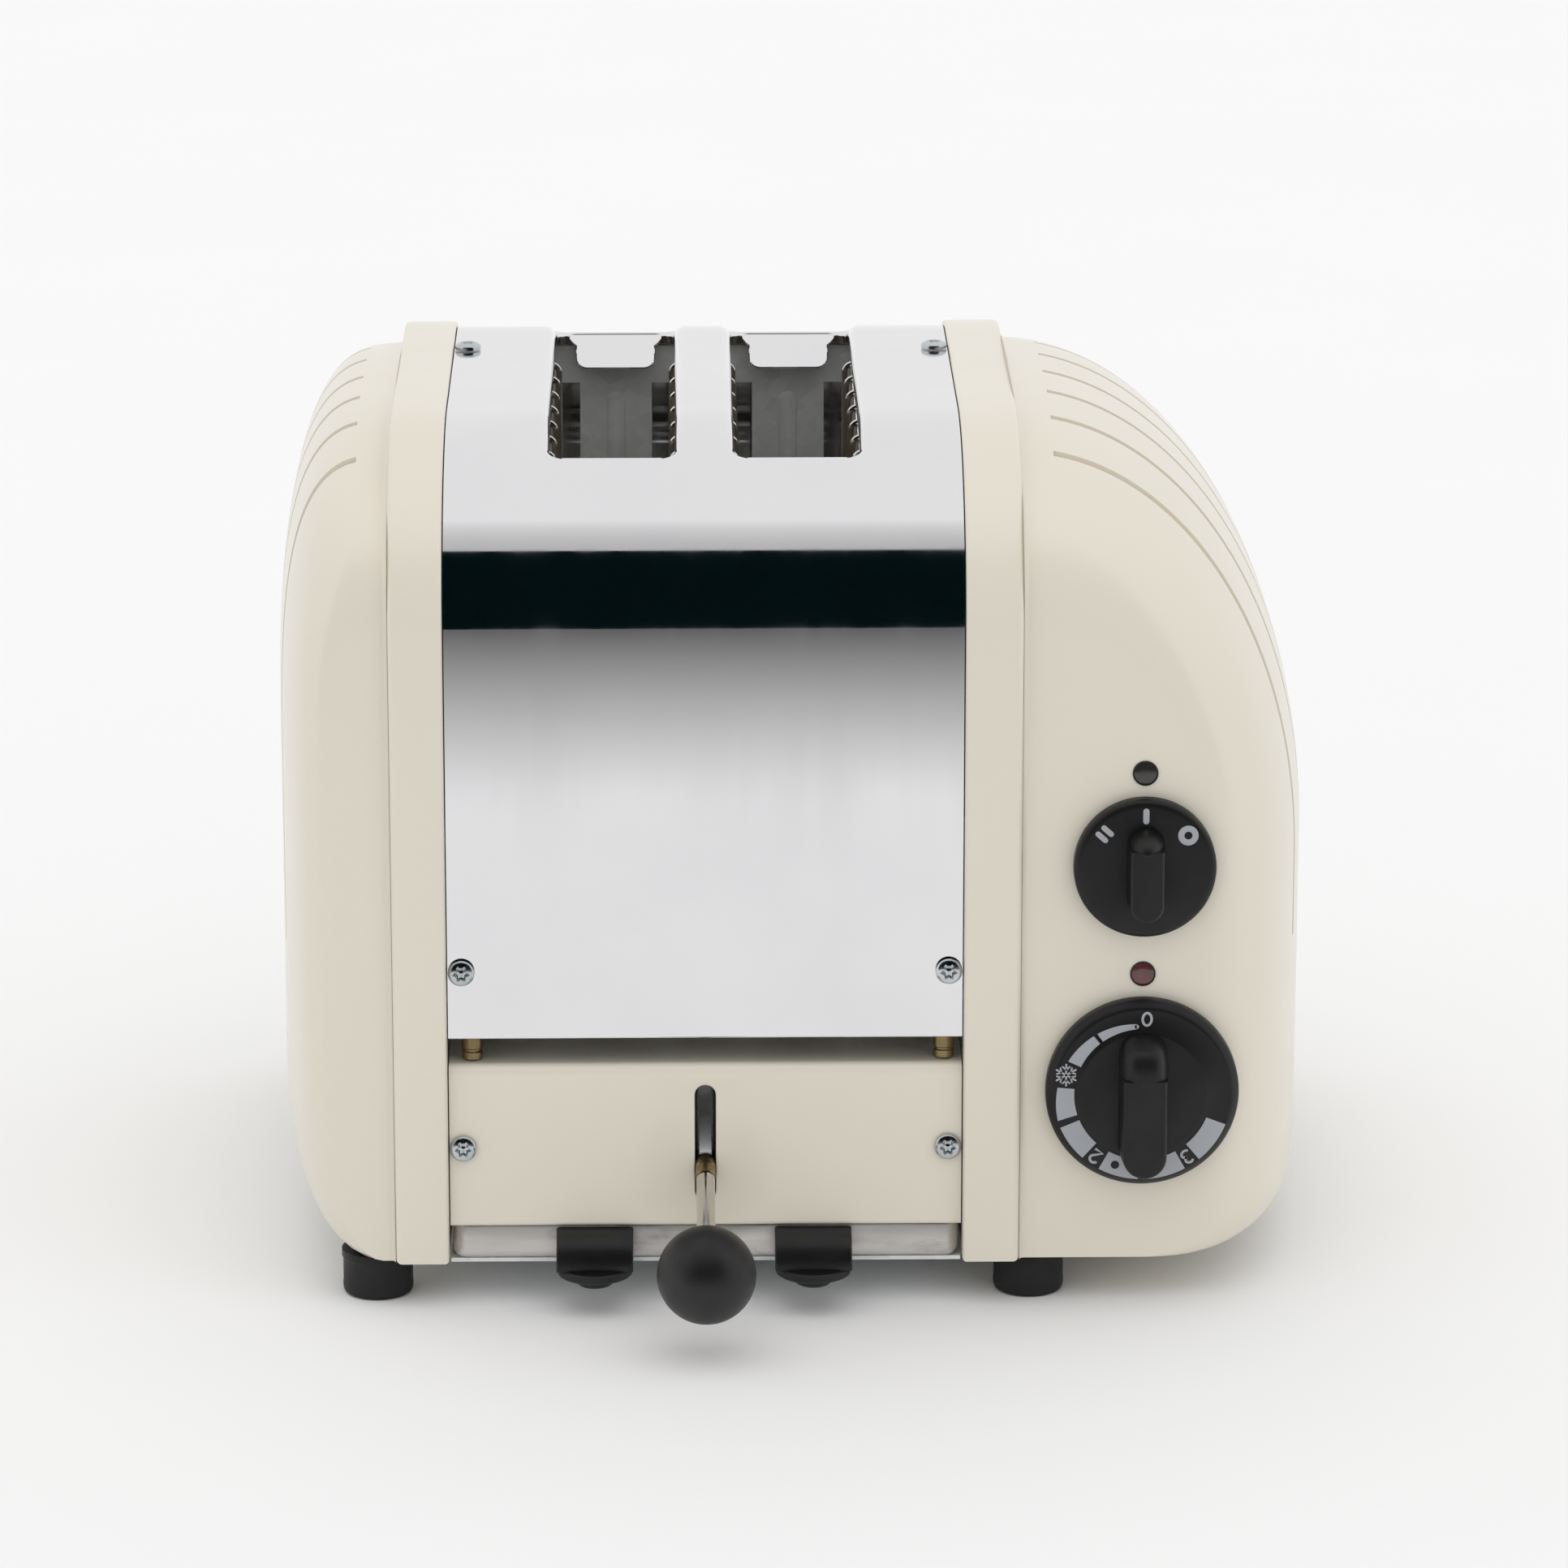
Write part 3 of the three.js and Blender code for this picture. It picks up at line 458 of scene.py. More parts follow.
def casting_rows(casting):
    """Rows from the rim over the dome, end wall and foot, each with its share of the vents' depth."""
    reach = casting["end"] - casting["rim"][1]

    def turn_at(x):
        return math.asin((x / reach) ** (1 / casting["power"]))

    first = [0.0, 0.3, 0.7, 1.2, 2.0, 2.8, 5.0, 9.0, 9.8]
    rows = [("dome", turn_at(x), 1.0 if x > 9.5 else 0.0) for x in first]
    last = rows[-1][1]
    rows += [("dome", last + (math.pi / 2 - last) * i / 34, 1.0) for i in range(1, 35)]
    foot_top = FLOOR_GAP + casting["foot_height"]
    rows += [("wall", z, 1.0) for z in (casting["spring"] * 0.6 + VENT_BOTTOM * 0.4, VENT_BOTTOM + 1)]
    rows += [("wall", z, 0.0) for z in (VENT_BOTTOM, (VENT_BOTTOM + foot_top) / 2, foot_top)]
    rows += [("foot", math.pi / 2 * i / 10, 0.0) for i in range(1, 11)]
    return rows


def casting_point(casting, kind, place_on_row, t):
    y, reach, rise = dome_section(casting, t)
    if kind == "dome":
        outward = math.sin(place_on_row) ** casting["power"]
        upward = max(math.cos(place_on_row), 0.0) ** casting["power"]
        return casting["rim"][1] + reach * outward, y, casting["spring"] + rise * upward
    x = casting["rim"][1] + reach
    if kind == "wall":
        return x, y, place_on_row
    inset = min(casting["foot_inset"], reach - 3.2)
    z = FLOOR_GAP + casting["foot_height"] * (1 - math.sin(place_on_row))
    return x - inset * (1 - math.cos(place_on_row)), y, z


def flatwise(normals):
    """The directions of a row of normals within Y and Z, at unit length."""
    flat = normals * (0, 1, 1)
    return flat / np.maximum(np.linalg.norm(flat, axis=1, keepdims=True), 1e-9)


def dome_shape(casting):
    """The dome with its vents, a cove and inner wall at the rim, two flat faces and an underside."""
    cove = 2.0
    turns, rows = casting_columns(), casting_rows(casting)
    skin = np.array([[casting_point(casting, kind, at, t) for t in turns] for kind, at, _ in rows])
    normal = np.cross(np.gradient(skin, axis=1), np.gradient(skin, axis=0))
    normal /= np.maximum(np.linalg.norm(normal, axis=2, keepdims=True), 1e-9)
    normal *= np.sign(normal[len(rows) // 2, len(turns) // 2, 0])
    vents = np.array([[max(vent_profile(abs(p[1] - v)) for v in VENTS) for p in skin[0]]])
    depth = vents * np.array([[row[2]] for row in rows]) * VENT_DEPTH
    skin -= normal * depth[:, :, None]
    flat = 0
    for r, (kind, at, _) in enumerate(rows):
        away = skin[r, len(turns) // 2, 0] - casting["rim"][1]
        if kind == "dome" and away < cove:
            lift = cove - math.sqrt(cove ** 2 - (cove - away) ** 2)
            skin[r] += flatwise(normal[r]) * lift
        if kind == "dome" and away < 3.0:
            flat = r
    shape = Shape()
    side = casting["side"]
    ids = shape.grid([[(side * x, y, z) for x, y, z in row] for row in skin])
    under = skin[0] - flatwise(normal[0]) * WALL_DEPTH
    wall = [shape.point((side * (x - WALL_INSET), y, z)) for x, y, z in under]
    shape.join([ids[0], wall])
    for column in (0, -1):
        feet = [shape.point((side * skin[r, column, 0], skin[r, column, 1], FLOOR_GAP))
                for r in range(flat + 1)]
        shape.join([[ids[r][column] for r in range(flat + 1)], feet])
        shape.faces.append(tuple([ids[r][column] for r in range(flat, len(rows))] + [feet[flat]]))
        if column == 0:
            front_feet = feet
    shape.faces.append(tuple(front_feet + ids[-1] + list(reversed(feet))))
    return shape


def side_outline(grow):
    """The casing's outline in Y and Z grown by a distance, from the front bottom corner over to the rear."""
    lift = grow * RIM_PROUD_TOP / RIM_PROUD if grow > 0 else grow
    spring, run, rise = SPRING, SHOULDER_RUN + grow, SHOULDER_RISE + lift
    bottom = FLOOR_GAP + RIM_PROUD - grow
    half = HALF + grow
    climb = [(-half, bottom + (spring - bottom) * i / 4) for i in range(4)]
    front = arc(-FLAT_HALF, spring, run, rise, 180, 90, 28)
    top = [(y, spring + rise) for y in (-30, -15, 0, 15, 30)]
    rear = arc(FLAT_HALF, spring, run, rise, 90, 0, 28)
    fall = [(half, y) for _, y in reversed(climb)]
    return climb + front + top + rear + fall


def rim_shape(casting):
    inner, outer = casting["rim"]
    soft, proud, deep = 1.5, RIM_PROUD, -7
    profile = [(inner, deep), (inner, proud - 1)]
    profile += [(inner + 1 - c, proud - 1 + s) for c, s in arc(0, 0, 1, 1, 0, 90, 4)[1:]]
    profile += [(outer - soft + s, proud - soft + c) for c, s in arc(0, 0, soft, soft, 0, 90, 6)]
    profile += [(outer, deep)]
    shape = Shape()
    side = casting["side"]
    loops = [[(side * x, y, z) for y, z in side_outline(grow)] for x, grow in profile]
    ids = shape.grid(loops, closed=True)
    shape.join([ids[-1], ids[0]], closed=True)
    return shape


def make_castings():
    for hand, casting in CASTINGS.items():
        shell = dome_shape(casting).add(rim_shape(casting))
        place(f"{hand}_casting_shell", shell, "cream_enamel", replaces=[f"{hand}_end_casting"], sharp=38)


# ---- Chrome cover ----
def cover_surface(y):
    """Height and outward normal of the cover's top and shoulders at a depth."""
    a = max(0.0, abs(y) - FLAT_HALF) / SHOULDER_RUN
    height = math.sqrt(max(1 - a * a, 0.0))
    slope = SHOULDER_RISE / SHOULDER_RUN * a / max(height, 1e-6)
    normal = Vector((0, math.copysign(slope, y), 1)).normalized()
    return SPRING + SHOULDER_RISE * height, normal


def edge_roll(dx):
    """The roll's radius where the slot's edge faces sideways by dx."""
    return SLOT_ROLL + SLOT_SIDE_ROLL * abs(dx)


def slot_loop(centre, share, extra=0.0):
    """Points round a slot, moved out by a share of the roll, each with the direction away from the slot."""
    w, h, r = SLOT_HALF_WIDTH - SLOT_CORNER, SLOT_HALF_LENGTH - SLOT_CORNER, SLOT_CORNER
    points = []

    def straight(start, end, direction, steps):
        for i in range(1, steps):
            p = Vector(start).lerp(Vector(end), i / steps)
            points.append((p.x, p.y, direction))

    def corner(x, y, start):
        for i in range(9):
            a = math.radians(start + 90 * i / 8)
            c, s = math.cos(a), math.sin(a)
            points.append((centre + x + r * c, y + r * s, (c, s)))

    corner(w, -h, -90)
    straight((centre + w + r, -h), (centre + w + r, h), (1, 0), 44)
    corner(w, h, 0)
    straight((centre + w, h + r), (centre - w, h + r), (0, 1), 6)
    corner(-w, h, 90)
    straight((centre - w - r, h), (centre - w - r, -h), (-1, 0), 44)
    corner(-w, -h, 180)
    straight((centre - w, -h - r), (centre + w, -h - r), (0, -1), 6)
    moved = []
    for x, y, (dx, dy) in points:
        out = share * edge_roll(dx) + extra
        moved.append((x + dx * out, y + dy * out, (dx, dy)))
    return moved


def triangulate(boundary, holes, inside):
    """Triangles over a flat area with holes, as coordinates and index triples."""
    points, edges = [], []
    for loop in [boundary, *holes]:
        base = len(points)
        points += [Vector(p) for p in loop]
        edges += [(base + i, base + (i + 1) % len(loop)) for i in range(len(loop))]
    points += [Vector(p) for p in inside]
    made, _, triangles, *_ = delaunay_2d_cdt(points, edges, [], 0, 1e-5)
    kept = []
    for triangle in triangles:
        middle = sum((made[i] for i in triangle), Vector((0, 0))) / 3
        if not any(within(middle, hole) for hole in holes):
            kept.append(triangle)
    return made, kept


def within(p, loop):
    found = False
    for (x0, y0), (x1, y1) in zip(loop, loop[1:] + loop[:1]):
        if (y0 > p[1]) != (y1 > p[1]) and p[0] < x0 + (p[1] - y0) / (y1 - y0) * (x1 - x0):
            found = not found
    return found


def spaced(start, end, step):
    count = max(1, round(abs(end - start) / step))
    return [start + (end - start) * i / count for i in range(count + 1)]


def cover_shape():
    shape = Shape()
    reach = 80
    xs = spaced(LEFT, RIGHT, 7)
    ys = spaced(-reach, -FLAT_HALF, 2.4) + spaced(-FLAT_HALF, FLAT_HALF, 9)[1:]
    ys += spaced(FLAT_HALF, reach, 2.4)[1:]
    edge = ([(x, -reach) for x in xs] + [(RIGHT, y) for y in ys[1:]]
            + [(x, reach) for x in reversed(xs[:-1])] + [(LEFT, y) for y in reversed(ys[1:-1])])
    holes = [[(x, y) for x, y, _ in slot_loop(c, 1)] for c in SLOT_CENTRES]
    clear = [[(x, y) for x, y, _ in slot_loop(c, 1, 1.2)] for c in SLOT_CENTRES]
    inside = [(x, y) for x in xs[1:-1] for y in ys[1:-1] if not any(within((x, y), loop) for loop in clear)]
    made, triangles = triangulate(edge, holes, inside)

    def skin(x, y):
        z, normal = cover_surface(y)
        return shape.point((x, y, z), tuple(normal), weld=True)

    for triangle in triangles:
        shape.faces.append(tuple(skin(*made[i]) for i in triangle))
    for centre in SLOT_CENTRES:
        add_slot_edge(shape, centre)
    for way in (-1, 1):
        add_cover_face(shape, xs, way, reach)
    return shape


def add_slot_edge(shape, centre):
    """The rolled edge of a slot, the short upright lip below it and the lip's thickness."""
    rows = []
    for turn in range(90, -1, -15):
        a = math.radians(turn)
        row = []
        for x, y, (dx, dy) in slot_loop(centre, 1 - math.cos(a)):
            z, up = cover_surface(y)
            drop = edge_roll(dx) * (1 - math.sin(a))
            normal = (up * math.sin(a) - Vector((dx, dy, 0)) * math.cos(a)).normalized()
            row.append(shape.point((x, y, z - drop), tuple(normal), weld=True))
        rows.append(row)
    for out in (0, 0.8):
        row = []
        for x, y, (dx, dy) in slot_loop(centre, 0, out):
            normal = (-dx, -dy, 0) if out == 0 else (0, 0, -1)
            row.append(shape.point((x, y, cover_surface(y)[0] - edge_roll(dx) - 1.6), normal, weld=True))
        rows.append(row)
    shape.join(rows, closed=True)


def add_cover_face(shape, xs, way, reach):
    """The lower shoulder and the upright face of the cover, with a folded lower edge."""
    start = math.acos((reach - FLAT_HALF) / SHOULDER_RUN)
    section = []
    for i in range(31):
        a = start * (1 - i / 30)
        y, z = FLAT_HALF + SHOULDER_RUN * math.cos(a), SPRING + SHOULDER_RISE * math.sin(a)
        normal = Vector((0, math.cos(a) / SHOULDER_RUN, math.sin(a) / SHOULDER_RISE)).normalized()
        section.append((y, z, normal.y, normal.z))
    section += [(HALF, z, 1, 0) for z in spaced(SPRING, COVER_BOTTOM + 0.5, 15)[1:]]
    for a in (math.radians(30 * i) for i in range(1, 4)):
        c, s = math.cos(a), math.sin(a)
        section.append((HALF - 0.5 + 0.5 * c, COVER_BOTTOM + 0.5 - 0.5 * s, c, -s))
    section += [(HALF - 0.9, COVER_BOTTOM + 0.4, -0.7, -0.7), (HALF - 1, COVER_BOTTOM + 4, -1, 0)]
    rows = []
    for y, z, ny, nz in section:
        rows.append([shape.point((x, way * y, z), (0.0, way * ny, nz), weld=True) for x in xs])
    shape.join(rows)


def tongue_shape():
    """A round-cornered tongue, wider where it leaves the cover, folded down and inwards."""
    low, half, wide, corner = -TONGUE_LENGTH, 10.35, 12.2, 3
    right = [(wide, -0.8), (wide, -2.2), (wide - 0.9, -3.4), (half, -4.2)]
    right += [(half - corner + corner * math.cos(a), low + corner - corner * math.sin(a))
              for a in (math.pi / 2 * i / 6 for i in range(7))]
    outline = right + [(-x, v) for x, v in reversed(right)]
    fold = cover_surface(SLOT_HALF_LENGTH)[0] - 0.6
    lean = Matrix.Rotation(math.radians(90 - TONGUE_LEAN), 4, "X")
    return Shape().add(slab(outline, 0.1, 0.9, 0.2), at(0, SLOT_HALF_LENGTH, fold) @ lean)


def make_cover():
    place("cover_sheet", cover_shape(), "polished_chrome", replaces=["chrome_cover"])
    tongues = Shape()
    for centre in SLOT_CENTRES:
        for way in (-1, 1):
            turn = Matrix.Rotation(math.pi if way < 0 else 0.0, 4, "Z")
            tongues.add(tongue_shape(), at(centre) @ turn)
    place("cover_tongues", tongues, "polished_chrome", replaces=["chrome_cover"])


# ---- Folded panels ----
def panel_shape(way, hole, rolled):
    """One lower panel: a ledge, a bend, an upright face with a hole and a fold at its foot."""
    shape = Shape()
    xs = spaced(LEFT, RIGHT, 20)
    bend, fold, sheet = 2.5, 0.8, 1.2
    face_low, face_high = PANEL_BOTTOM + fold + 0.4, PANEL_TOP - bend - 0.4
    zs = spaced(face_low, face_high, 12)
    edge = ([(x, face_low) for x in xs] + [(RIGHT, z) for z in zs[1:]]
            + [(x, face_high) for x in reversed(xs[:-1])] + [(LEFT, z) for z in reversed(zs[1:-1])])
    made, triangles = triangulate(edge, [hole(rolled)], [])
    for triangle in triangles:
        corners = [(made[i].x, way * HALF, made[i].y) for i in triangle]
        shape.faces.append(tuple(shape.point(corner, weld=True) for corner in corners))
    loops = [(rolled * (1 - math.cos(a)), rolled * (1 - math.sin(a)))
             for a in (math.radians(t) for t in (90, 60, 30, 0))] + [(0, sheet)]
    rows = [[(x, way * (HALF - drop), z) for x, z in hole(out)] for out, drop in loops]
    shape.grid(rows, closed=True)
    section = [(HALF, face_high)]
    section += [(HALF - bend + c, PANEL_TOP - bend + s) for c, s in arc(0, 0, bend, bend, 0, 90, 8)]
    section += [(HALF - bend - 0.5, PANEL_TOP), (HALF - 26, PANEL_TOP), (HALF - 26, PANEL_TOP - sheet),
                (HALF - bend, PANEL_TOP - sheet)]
    foot = [(HALF, face_low)]
    foot += [(HALF - fold + c, PANEL_BOTTOM + fold + s) for c, s in arc(0, 0, fold, fold, 0, -90, 4)]
    foot += [(HALF - fold - 0.4, PANEL_BOTTOM), (HALF - 9, PANEL_BOTTOM), (HALF - 9, PANEL_BOTTOM + sheet),
             (HALF - 2, PANEL_BOTTOM + sheet)]
    for line in (section, foot):
        shape.grid([[(x, way * y, z) for x in xs] for y, z in line])
    return shape


def lever_slot(out):
    half = 2.6 + out
    low, high = 27 + 2.6, 57.1 - 2.6
    return (arc(LEVER_X, high, half, half, 0, 180, 12) + arc(LEVER_X, low, half, half, 180, 360, 12))


def gland_hole(out):
    return arc(25, 40, 6 + out, 6 + out, 0, 345, 23)


def make_panels():
    place("front_panel_sheet", panel_shape(-1, lever_slot, 0.5), "cream_enamel",
          replaces=["front_lower_panel"], sharp=40)
    place("rear_panel_sheet", panel_shape(1, gland_hole, 0.3), "cream_enamel",
          replaces=["rear_lower_panel"], sharp=40)
    post = revolve([(0, 0), (2.2, 0), (2.6, 0.4), (2.6, 2), (2.35, 2.3), (2.35, 2.7), (2.6, 3), (2.6, 17.6),
                    (2.2, 18), (0, 18)], 32)
    for hand, x in (("left", -79.5), ("right", 37)):
        place(f"post_{hand}", post, "brass", replaces=[f"panel_post_{hand}"],
              move=at(x, -94.5, PANEL_TOP + 0.3))
    gland = revolve([(3.6, -8), (5.6, -8), (5.6, 0.3), (8, 0.3), (8, 1.0), (7.6, 1.4), (6.8, 1.6),
                     (6.3, 2.3), (4.1, 2.4), (3.6, 2.0), (3.6, -8)], 40)
    gland.faces = [f for f in gland.faces if len(f) == 4]
    place("gland_ring", gland, "black_plastic", replaces=["cord_gland"], move=facing(1, 25, HALF, 40))


# ---- Screws ----
def screw_shape():
    """A pan head with a six-lobed recess and a central dimple."""
    radius, crown = 3.3, 2.0
    shape = Shape()
    rings = [0.0001, 0.35, 0.7, 0.95, 1.15, 1.35, 1.55, 1.75, 2.0, 2.3, 2.6, 2.85, 3.05, 3.2, radius]
    sides = 72
    loops = []
    for r in rings:
        loop = []
        for i in range(sides):
            a = math.tau * i / sides
            height = 0.9 + (crown - 0.9) * math.sqrt(max(0.0, 1 - (r / radius) ** 2.6))
            wall = 1.42 + 0.3 * math.cos(6 * a)
            depth = 1.0 / (1 + math.exp((r - wall) * 22))
            height -= 0.95 * depth - 0.25 * math.exp(-(r / 0.45) ** 2)
            loop.append((r * math.cos(a), r * math.sin(a), height))
        loops.append(loop)
    loops.append([(x, y, 0.3) for x, y, _ in loops[-1]])
    shape.loft(loops)
    return shape


def make_screws():
    head = screw_shape()
    for row, way in (("front", -1), ("rear", 1)):
        for kind, z in (("cover", 86.6), ("panel", 41.2)):
            for hand, x in zip(("left", "right"), SCREW_X):
                place(f"{kind}_head_{row}_{hand}", head, "plated_screw", sharp=55,
                      replaces=[f"{kind}_screw_{row}_{hand}"], move=facing(way, x, way * HALF, z))
    for hand, x in zip(("left", "right"), SCREW_X):
        place(f"top_head_{hand}", head, "plated_screw", replaces=[f"top_screw_{hand}"], sharp=55,
              move=at(x, 24.5, TOP))


# ---- Inside the slots ----
def guard_wires(hand):
    """Upright wires with their tops bent outwards, on two cross wires; hand says which way is outwards."""
    shape = Shape()
    radius, top, bend = 0.75, 204.2, 2.2
    for index in range(8):
        y = -60 + 120 / 7 * index
        curve = [(hand * (bend - bend * math.cos(a)), y, top - bend + bend * math.sin(a))
                 for a in (math.pi / 2 * i / 5 for i in range(6))]
        shape.add(tube([(0, y, 90.2), *curve, (hand * 4.3, y, top)], radius))
    for x, z in ((-hand * 0.7, 93), (hand * 1.9, 203)):
        shape.add(tube([(x, -68, z), (x, 68, z)], 0.7))
    return shape


def end_plate(way):
    """The plate across the slot ends: dark windows beside two narrow strips with domed ribs."""
    shape = Shape()
    low, high, window_low, window_high = 76, 206, 92, 196
    windows = [(centre + a, centre + b) for centre in SLOT_CENTRES for a, b in ((-16, -9.5), (9.5, 16))]
    xs = [LEFT + 0.8, *(x for window in windows for x in window), RIGHT - 0.9]
    for strip in zip(xs, xs[1:]):
        spans = [(low, window_low), (window_high, high)] if strip in windows else [(low, high)]
        for span in spans:
            shape.add(block(strip, (0.0, 1.0), span, 0.02))
    for centre in SLOT_CENTRES:
        shape.add(rib(centre, 98, 193.5, 2.5, 0.9))
    shape.points = [(x, way * (END_PLATE_Y + y), z) for x, y, z in shape.points]
    return shape


def rib(centre, low, high, half, height):
    """A domed, round-ended rib pressed out of a plate towards -Y."""
    rings = []
    for turn in range(0, 90, 15):
        a = math.radians(turn)
        r, out = half * math.cos(a), height * math.sin(a)
        loop = arc(centre, high - half, r, r, 0, 180, 10) + arc(centre, low + half, r, r, 180, 360, 10)
        rings.append([(x, -out, z) for x, z in loop])
    shape = Shape()
    shape.loft(rings)
    return shape


def make_chamber():
    names = (("guard_left_outer", "guard_left_inner"), ("guard_right_inner", "guard_right_outer"))
    for centre, pair in zip(SLOT_CENTRES, names):
        for hand, node in zip((-1, 1), pair):
            place(f"{node}_wires", guard_wires(hand), "bright_steel", replaces=[node],
                  move=at(centre + hand * 14.7))
    for name, way in (("rear", 1), ("front", -1)):
        place(f"{name}_plate_pressing", end_plate(way), "galvanised_steel", replaces=[f"{name}_end_plate"])
    tape = Shape()
    for side in (-1, 1):
        for index in range(19):
            z = 90 + index * 6
            tape.add(block((side * 0.75 - 0.1, side * 0.75 + 0.1), (-66, 66), (z, z + 1.6), 0.05))
    for name, x in (("left", -71), ("centre", -21.7), ("right", 28)):
        place(f"element_tape_{name}", tape, "resistance_tape",
              move=at(x))


# ---- Lever ----
def lever_move(distance):
    """Puts a shape made about +Z on the lever's axis, pointing forward, at a distance from the pivot."""
    along = Vector((0, -math.cos(LEVER_TILT), -math.sin(LEVER_TILT)))
    turn = along.to_track_quat("Z", "X").to_matrix().to_4x4()
    return Matrix.Translation(PIVOT + along * distance) @ turn


def make_lever():
    radius, distance = 12.1, 87.2
    flat = math.asin(3.2 / radius)
    profile = [(2.7, -radius * math.cos(flat) + 0.5), (3.2, -radius * math.cos(flat))]
    profile += [(radius * math.sin(a), -radius * math.cos(a))
                for a in (flat + (math.pi - flat) * i / 44 for i in range(1, 45))]
    place("ball_grip", revolve([(0, profile[0][1]), *profile], 72), "ball_plastic", body="lever",
          replaces=["lever_ball"], sharp=40, move=lever_move(distance))
    rod = revolve([(0, 49.4), (1.9, 49.4), (2.3, 49.8), (2.3, 77.4), (0, 77.4)], 40)
    place("bright_rod", rod, "bright_steel", body="lever", replaces=["lever_rod"], move=lever_move(0))
    bush = revolve([(0, 42), (2.2, 42), (2.45, 42.3), (2.45, 45.2), (2.2, 45.4), (2.2, 45.8), (2.45, 46),
                    (2.45, 48.6), (2.15, 49), (0, 49)], 40)
    place("brass_bush", bush, "brass", body="lever", replaces=["lever_bush"], move=lever_move(0))


# ---- Knobs and lamps ----
def grip_shape(base, thickness):
    """The finger grip: a tapered bar with a round lower end and a domed nose above it."""
    shape = Shape()
    low, step, high = base["low"], base["step"], base["high"]
    half, top_half, height = base["width"] / 2, base["top_width"] / 2, base["height"]
    loops = []
    for w, h in ((half, 0), (half - 0.15, height * 0.3), (top_half + 0.12, height - 0.9),
                 (top_half - 0.1, height - 0.35), (top_half - 0.45, height - 0.08), (top_half - 0.9, height)):
        end = arc(0, low + half, w, w, 180, 360, 20)
        loops.append([(x, y, thickness - 0.3 + h) for x, y in [*end, (w, step + 2.5), (-w, step + 2.5)]])
    shape.loft(loops)
    nose_centre = step + base["nose_back"]
    reach = high - nose_centre
    power = base["nose_power"]
    rings = []
    for j in range(17):
        a = math.pi / 2 * j / 16
        level, spread = math.sin(a) ** (2 / power), math.cos(a) ** (2 / power)
        ring = []
        for t in (math.tau * k / 40 for k in range(40)):
            across = math.copysign(abs(math.cos(t)) ** base["nose_plan"], math.cos(t))
            along = abs(math.sin(t)) ** base["nose_plan"]
            along *= reach if math.sin(t) > 0 else -base["nose_back"] * 1.15
            ring.append((half * spread * across, nose_centre + spread * along,
                         thickness - 0.3 + (height + base["nose_lift"]) * level))
        rings.append(ring)
    nose = Shape()
    nose.loft(rings)
    return shape.add(nose)


def ribbon(points, width, height, closed=False):
    """A flat printed stroke through points, raised a little from the face it lies on."""
    shape = Shape()
    count = len(points)
    left, right = [], []
    for i, p in enumerate(points):
        before = Vector(points[i - 1] if closed or i else points[0])
        after = Vector(points[(i + 1) % count] if closed or i < count - 1 else points[-1])
        along = (after - before).normalized()
        across = Vector((-along.y, along.x)) * width / 2
        left.append(Vector(p) + across)
        right.append(Vector(p) - across)
    rows = [[(*p, height - PRINT_DEPTH) for p in left], [(*p, height) for p in left],
            [(*p, height) for p in right], [(*p, height - PRINT_DEPTH) for p in right]]
    order = [*range(count), 0] if closed else range(count)
    shape.grid([[row[i] for row in rows] for i in order])
    return shape


def round_bar(x0, y0, x1, y1, width, height):
    """A stroke with round ends."""
    start, end = Vector((x0, y0)), Vector((x1, y1))
    turn = math.degrees(math.atan2(y1 - y0, x1 - x0))
    outline = (arc(end.x, end.y, width / 2, width / 2, turn - 90, turn + 90, 8)
               + arc(start.x, start.y, width / 2, width / 2, turn + 90, turn + 270, 8))
    return slab(outline, height - PRINT_DEPTH, height, 0.02)


def polar(radius, degrees):
    """A place on a dial: 0 degrees is at the top and the angle grows clockwise."""
    a = math.radians(degrees)
    return radius * math.sin(a), radius * math.cos(a)


def dial_move(x, z):
    return at(x, KNOB_BACK, z) @ Matrix.Rotation(math.pi / 2, 4, "X")


def make_selector():
    thickness = 4.5
    disc = revolve([(0, 0), (16.9, 0), (17.5, 0.5), (17.5, thickness - 1.3), (17.2, thickness - 0.55),
                    (16.5, thickness - 0.12), (15.6, thickness), (10, thickness - 0.05),
                    (0, thickness - 0.1)], 96)
    disc.add(grip_shape(dict(width=9.2, top_width=8.0, low=-11.6, step=4.3, high=10.6, height=9.4,
                             nose_back=1.9, nose_plan=0.92, nose_power=2.0, nose_lift=0.35), thickness))
    move = dial_move(KNOB_X, 113.6)
    place("selector_dial", disc, "knob_plastic", body="selector", replaces=["selector_knob"],
          sharp=40, move=move)
    marks, level = Shape(), thickness + 0.1
    marks.add(round_bar(0, 12.3, 0, 14.8, 1.5, level))
    for offset in (-1.05, 1.05):
        turn = Matrix.Rotation(math.radians(48), 4, "Z")
        marks.add(round_bar(offset, 12.4, offset, 14.8, 1.35, level), turn)
    x, y = polar(13.5, 50)
    marks.add(ribbon(arc(x, y, 1.75, 1.75, 0, 351, 39), 1.5, level, closed=True))
    place("selector_marks", marks, "dial_print", body="selector", move=move)


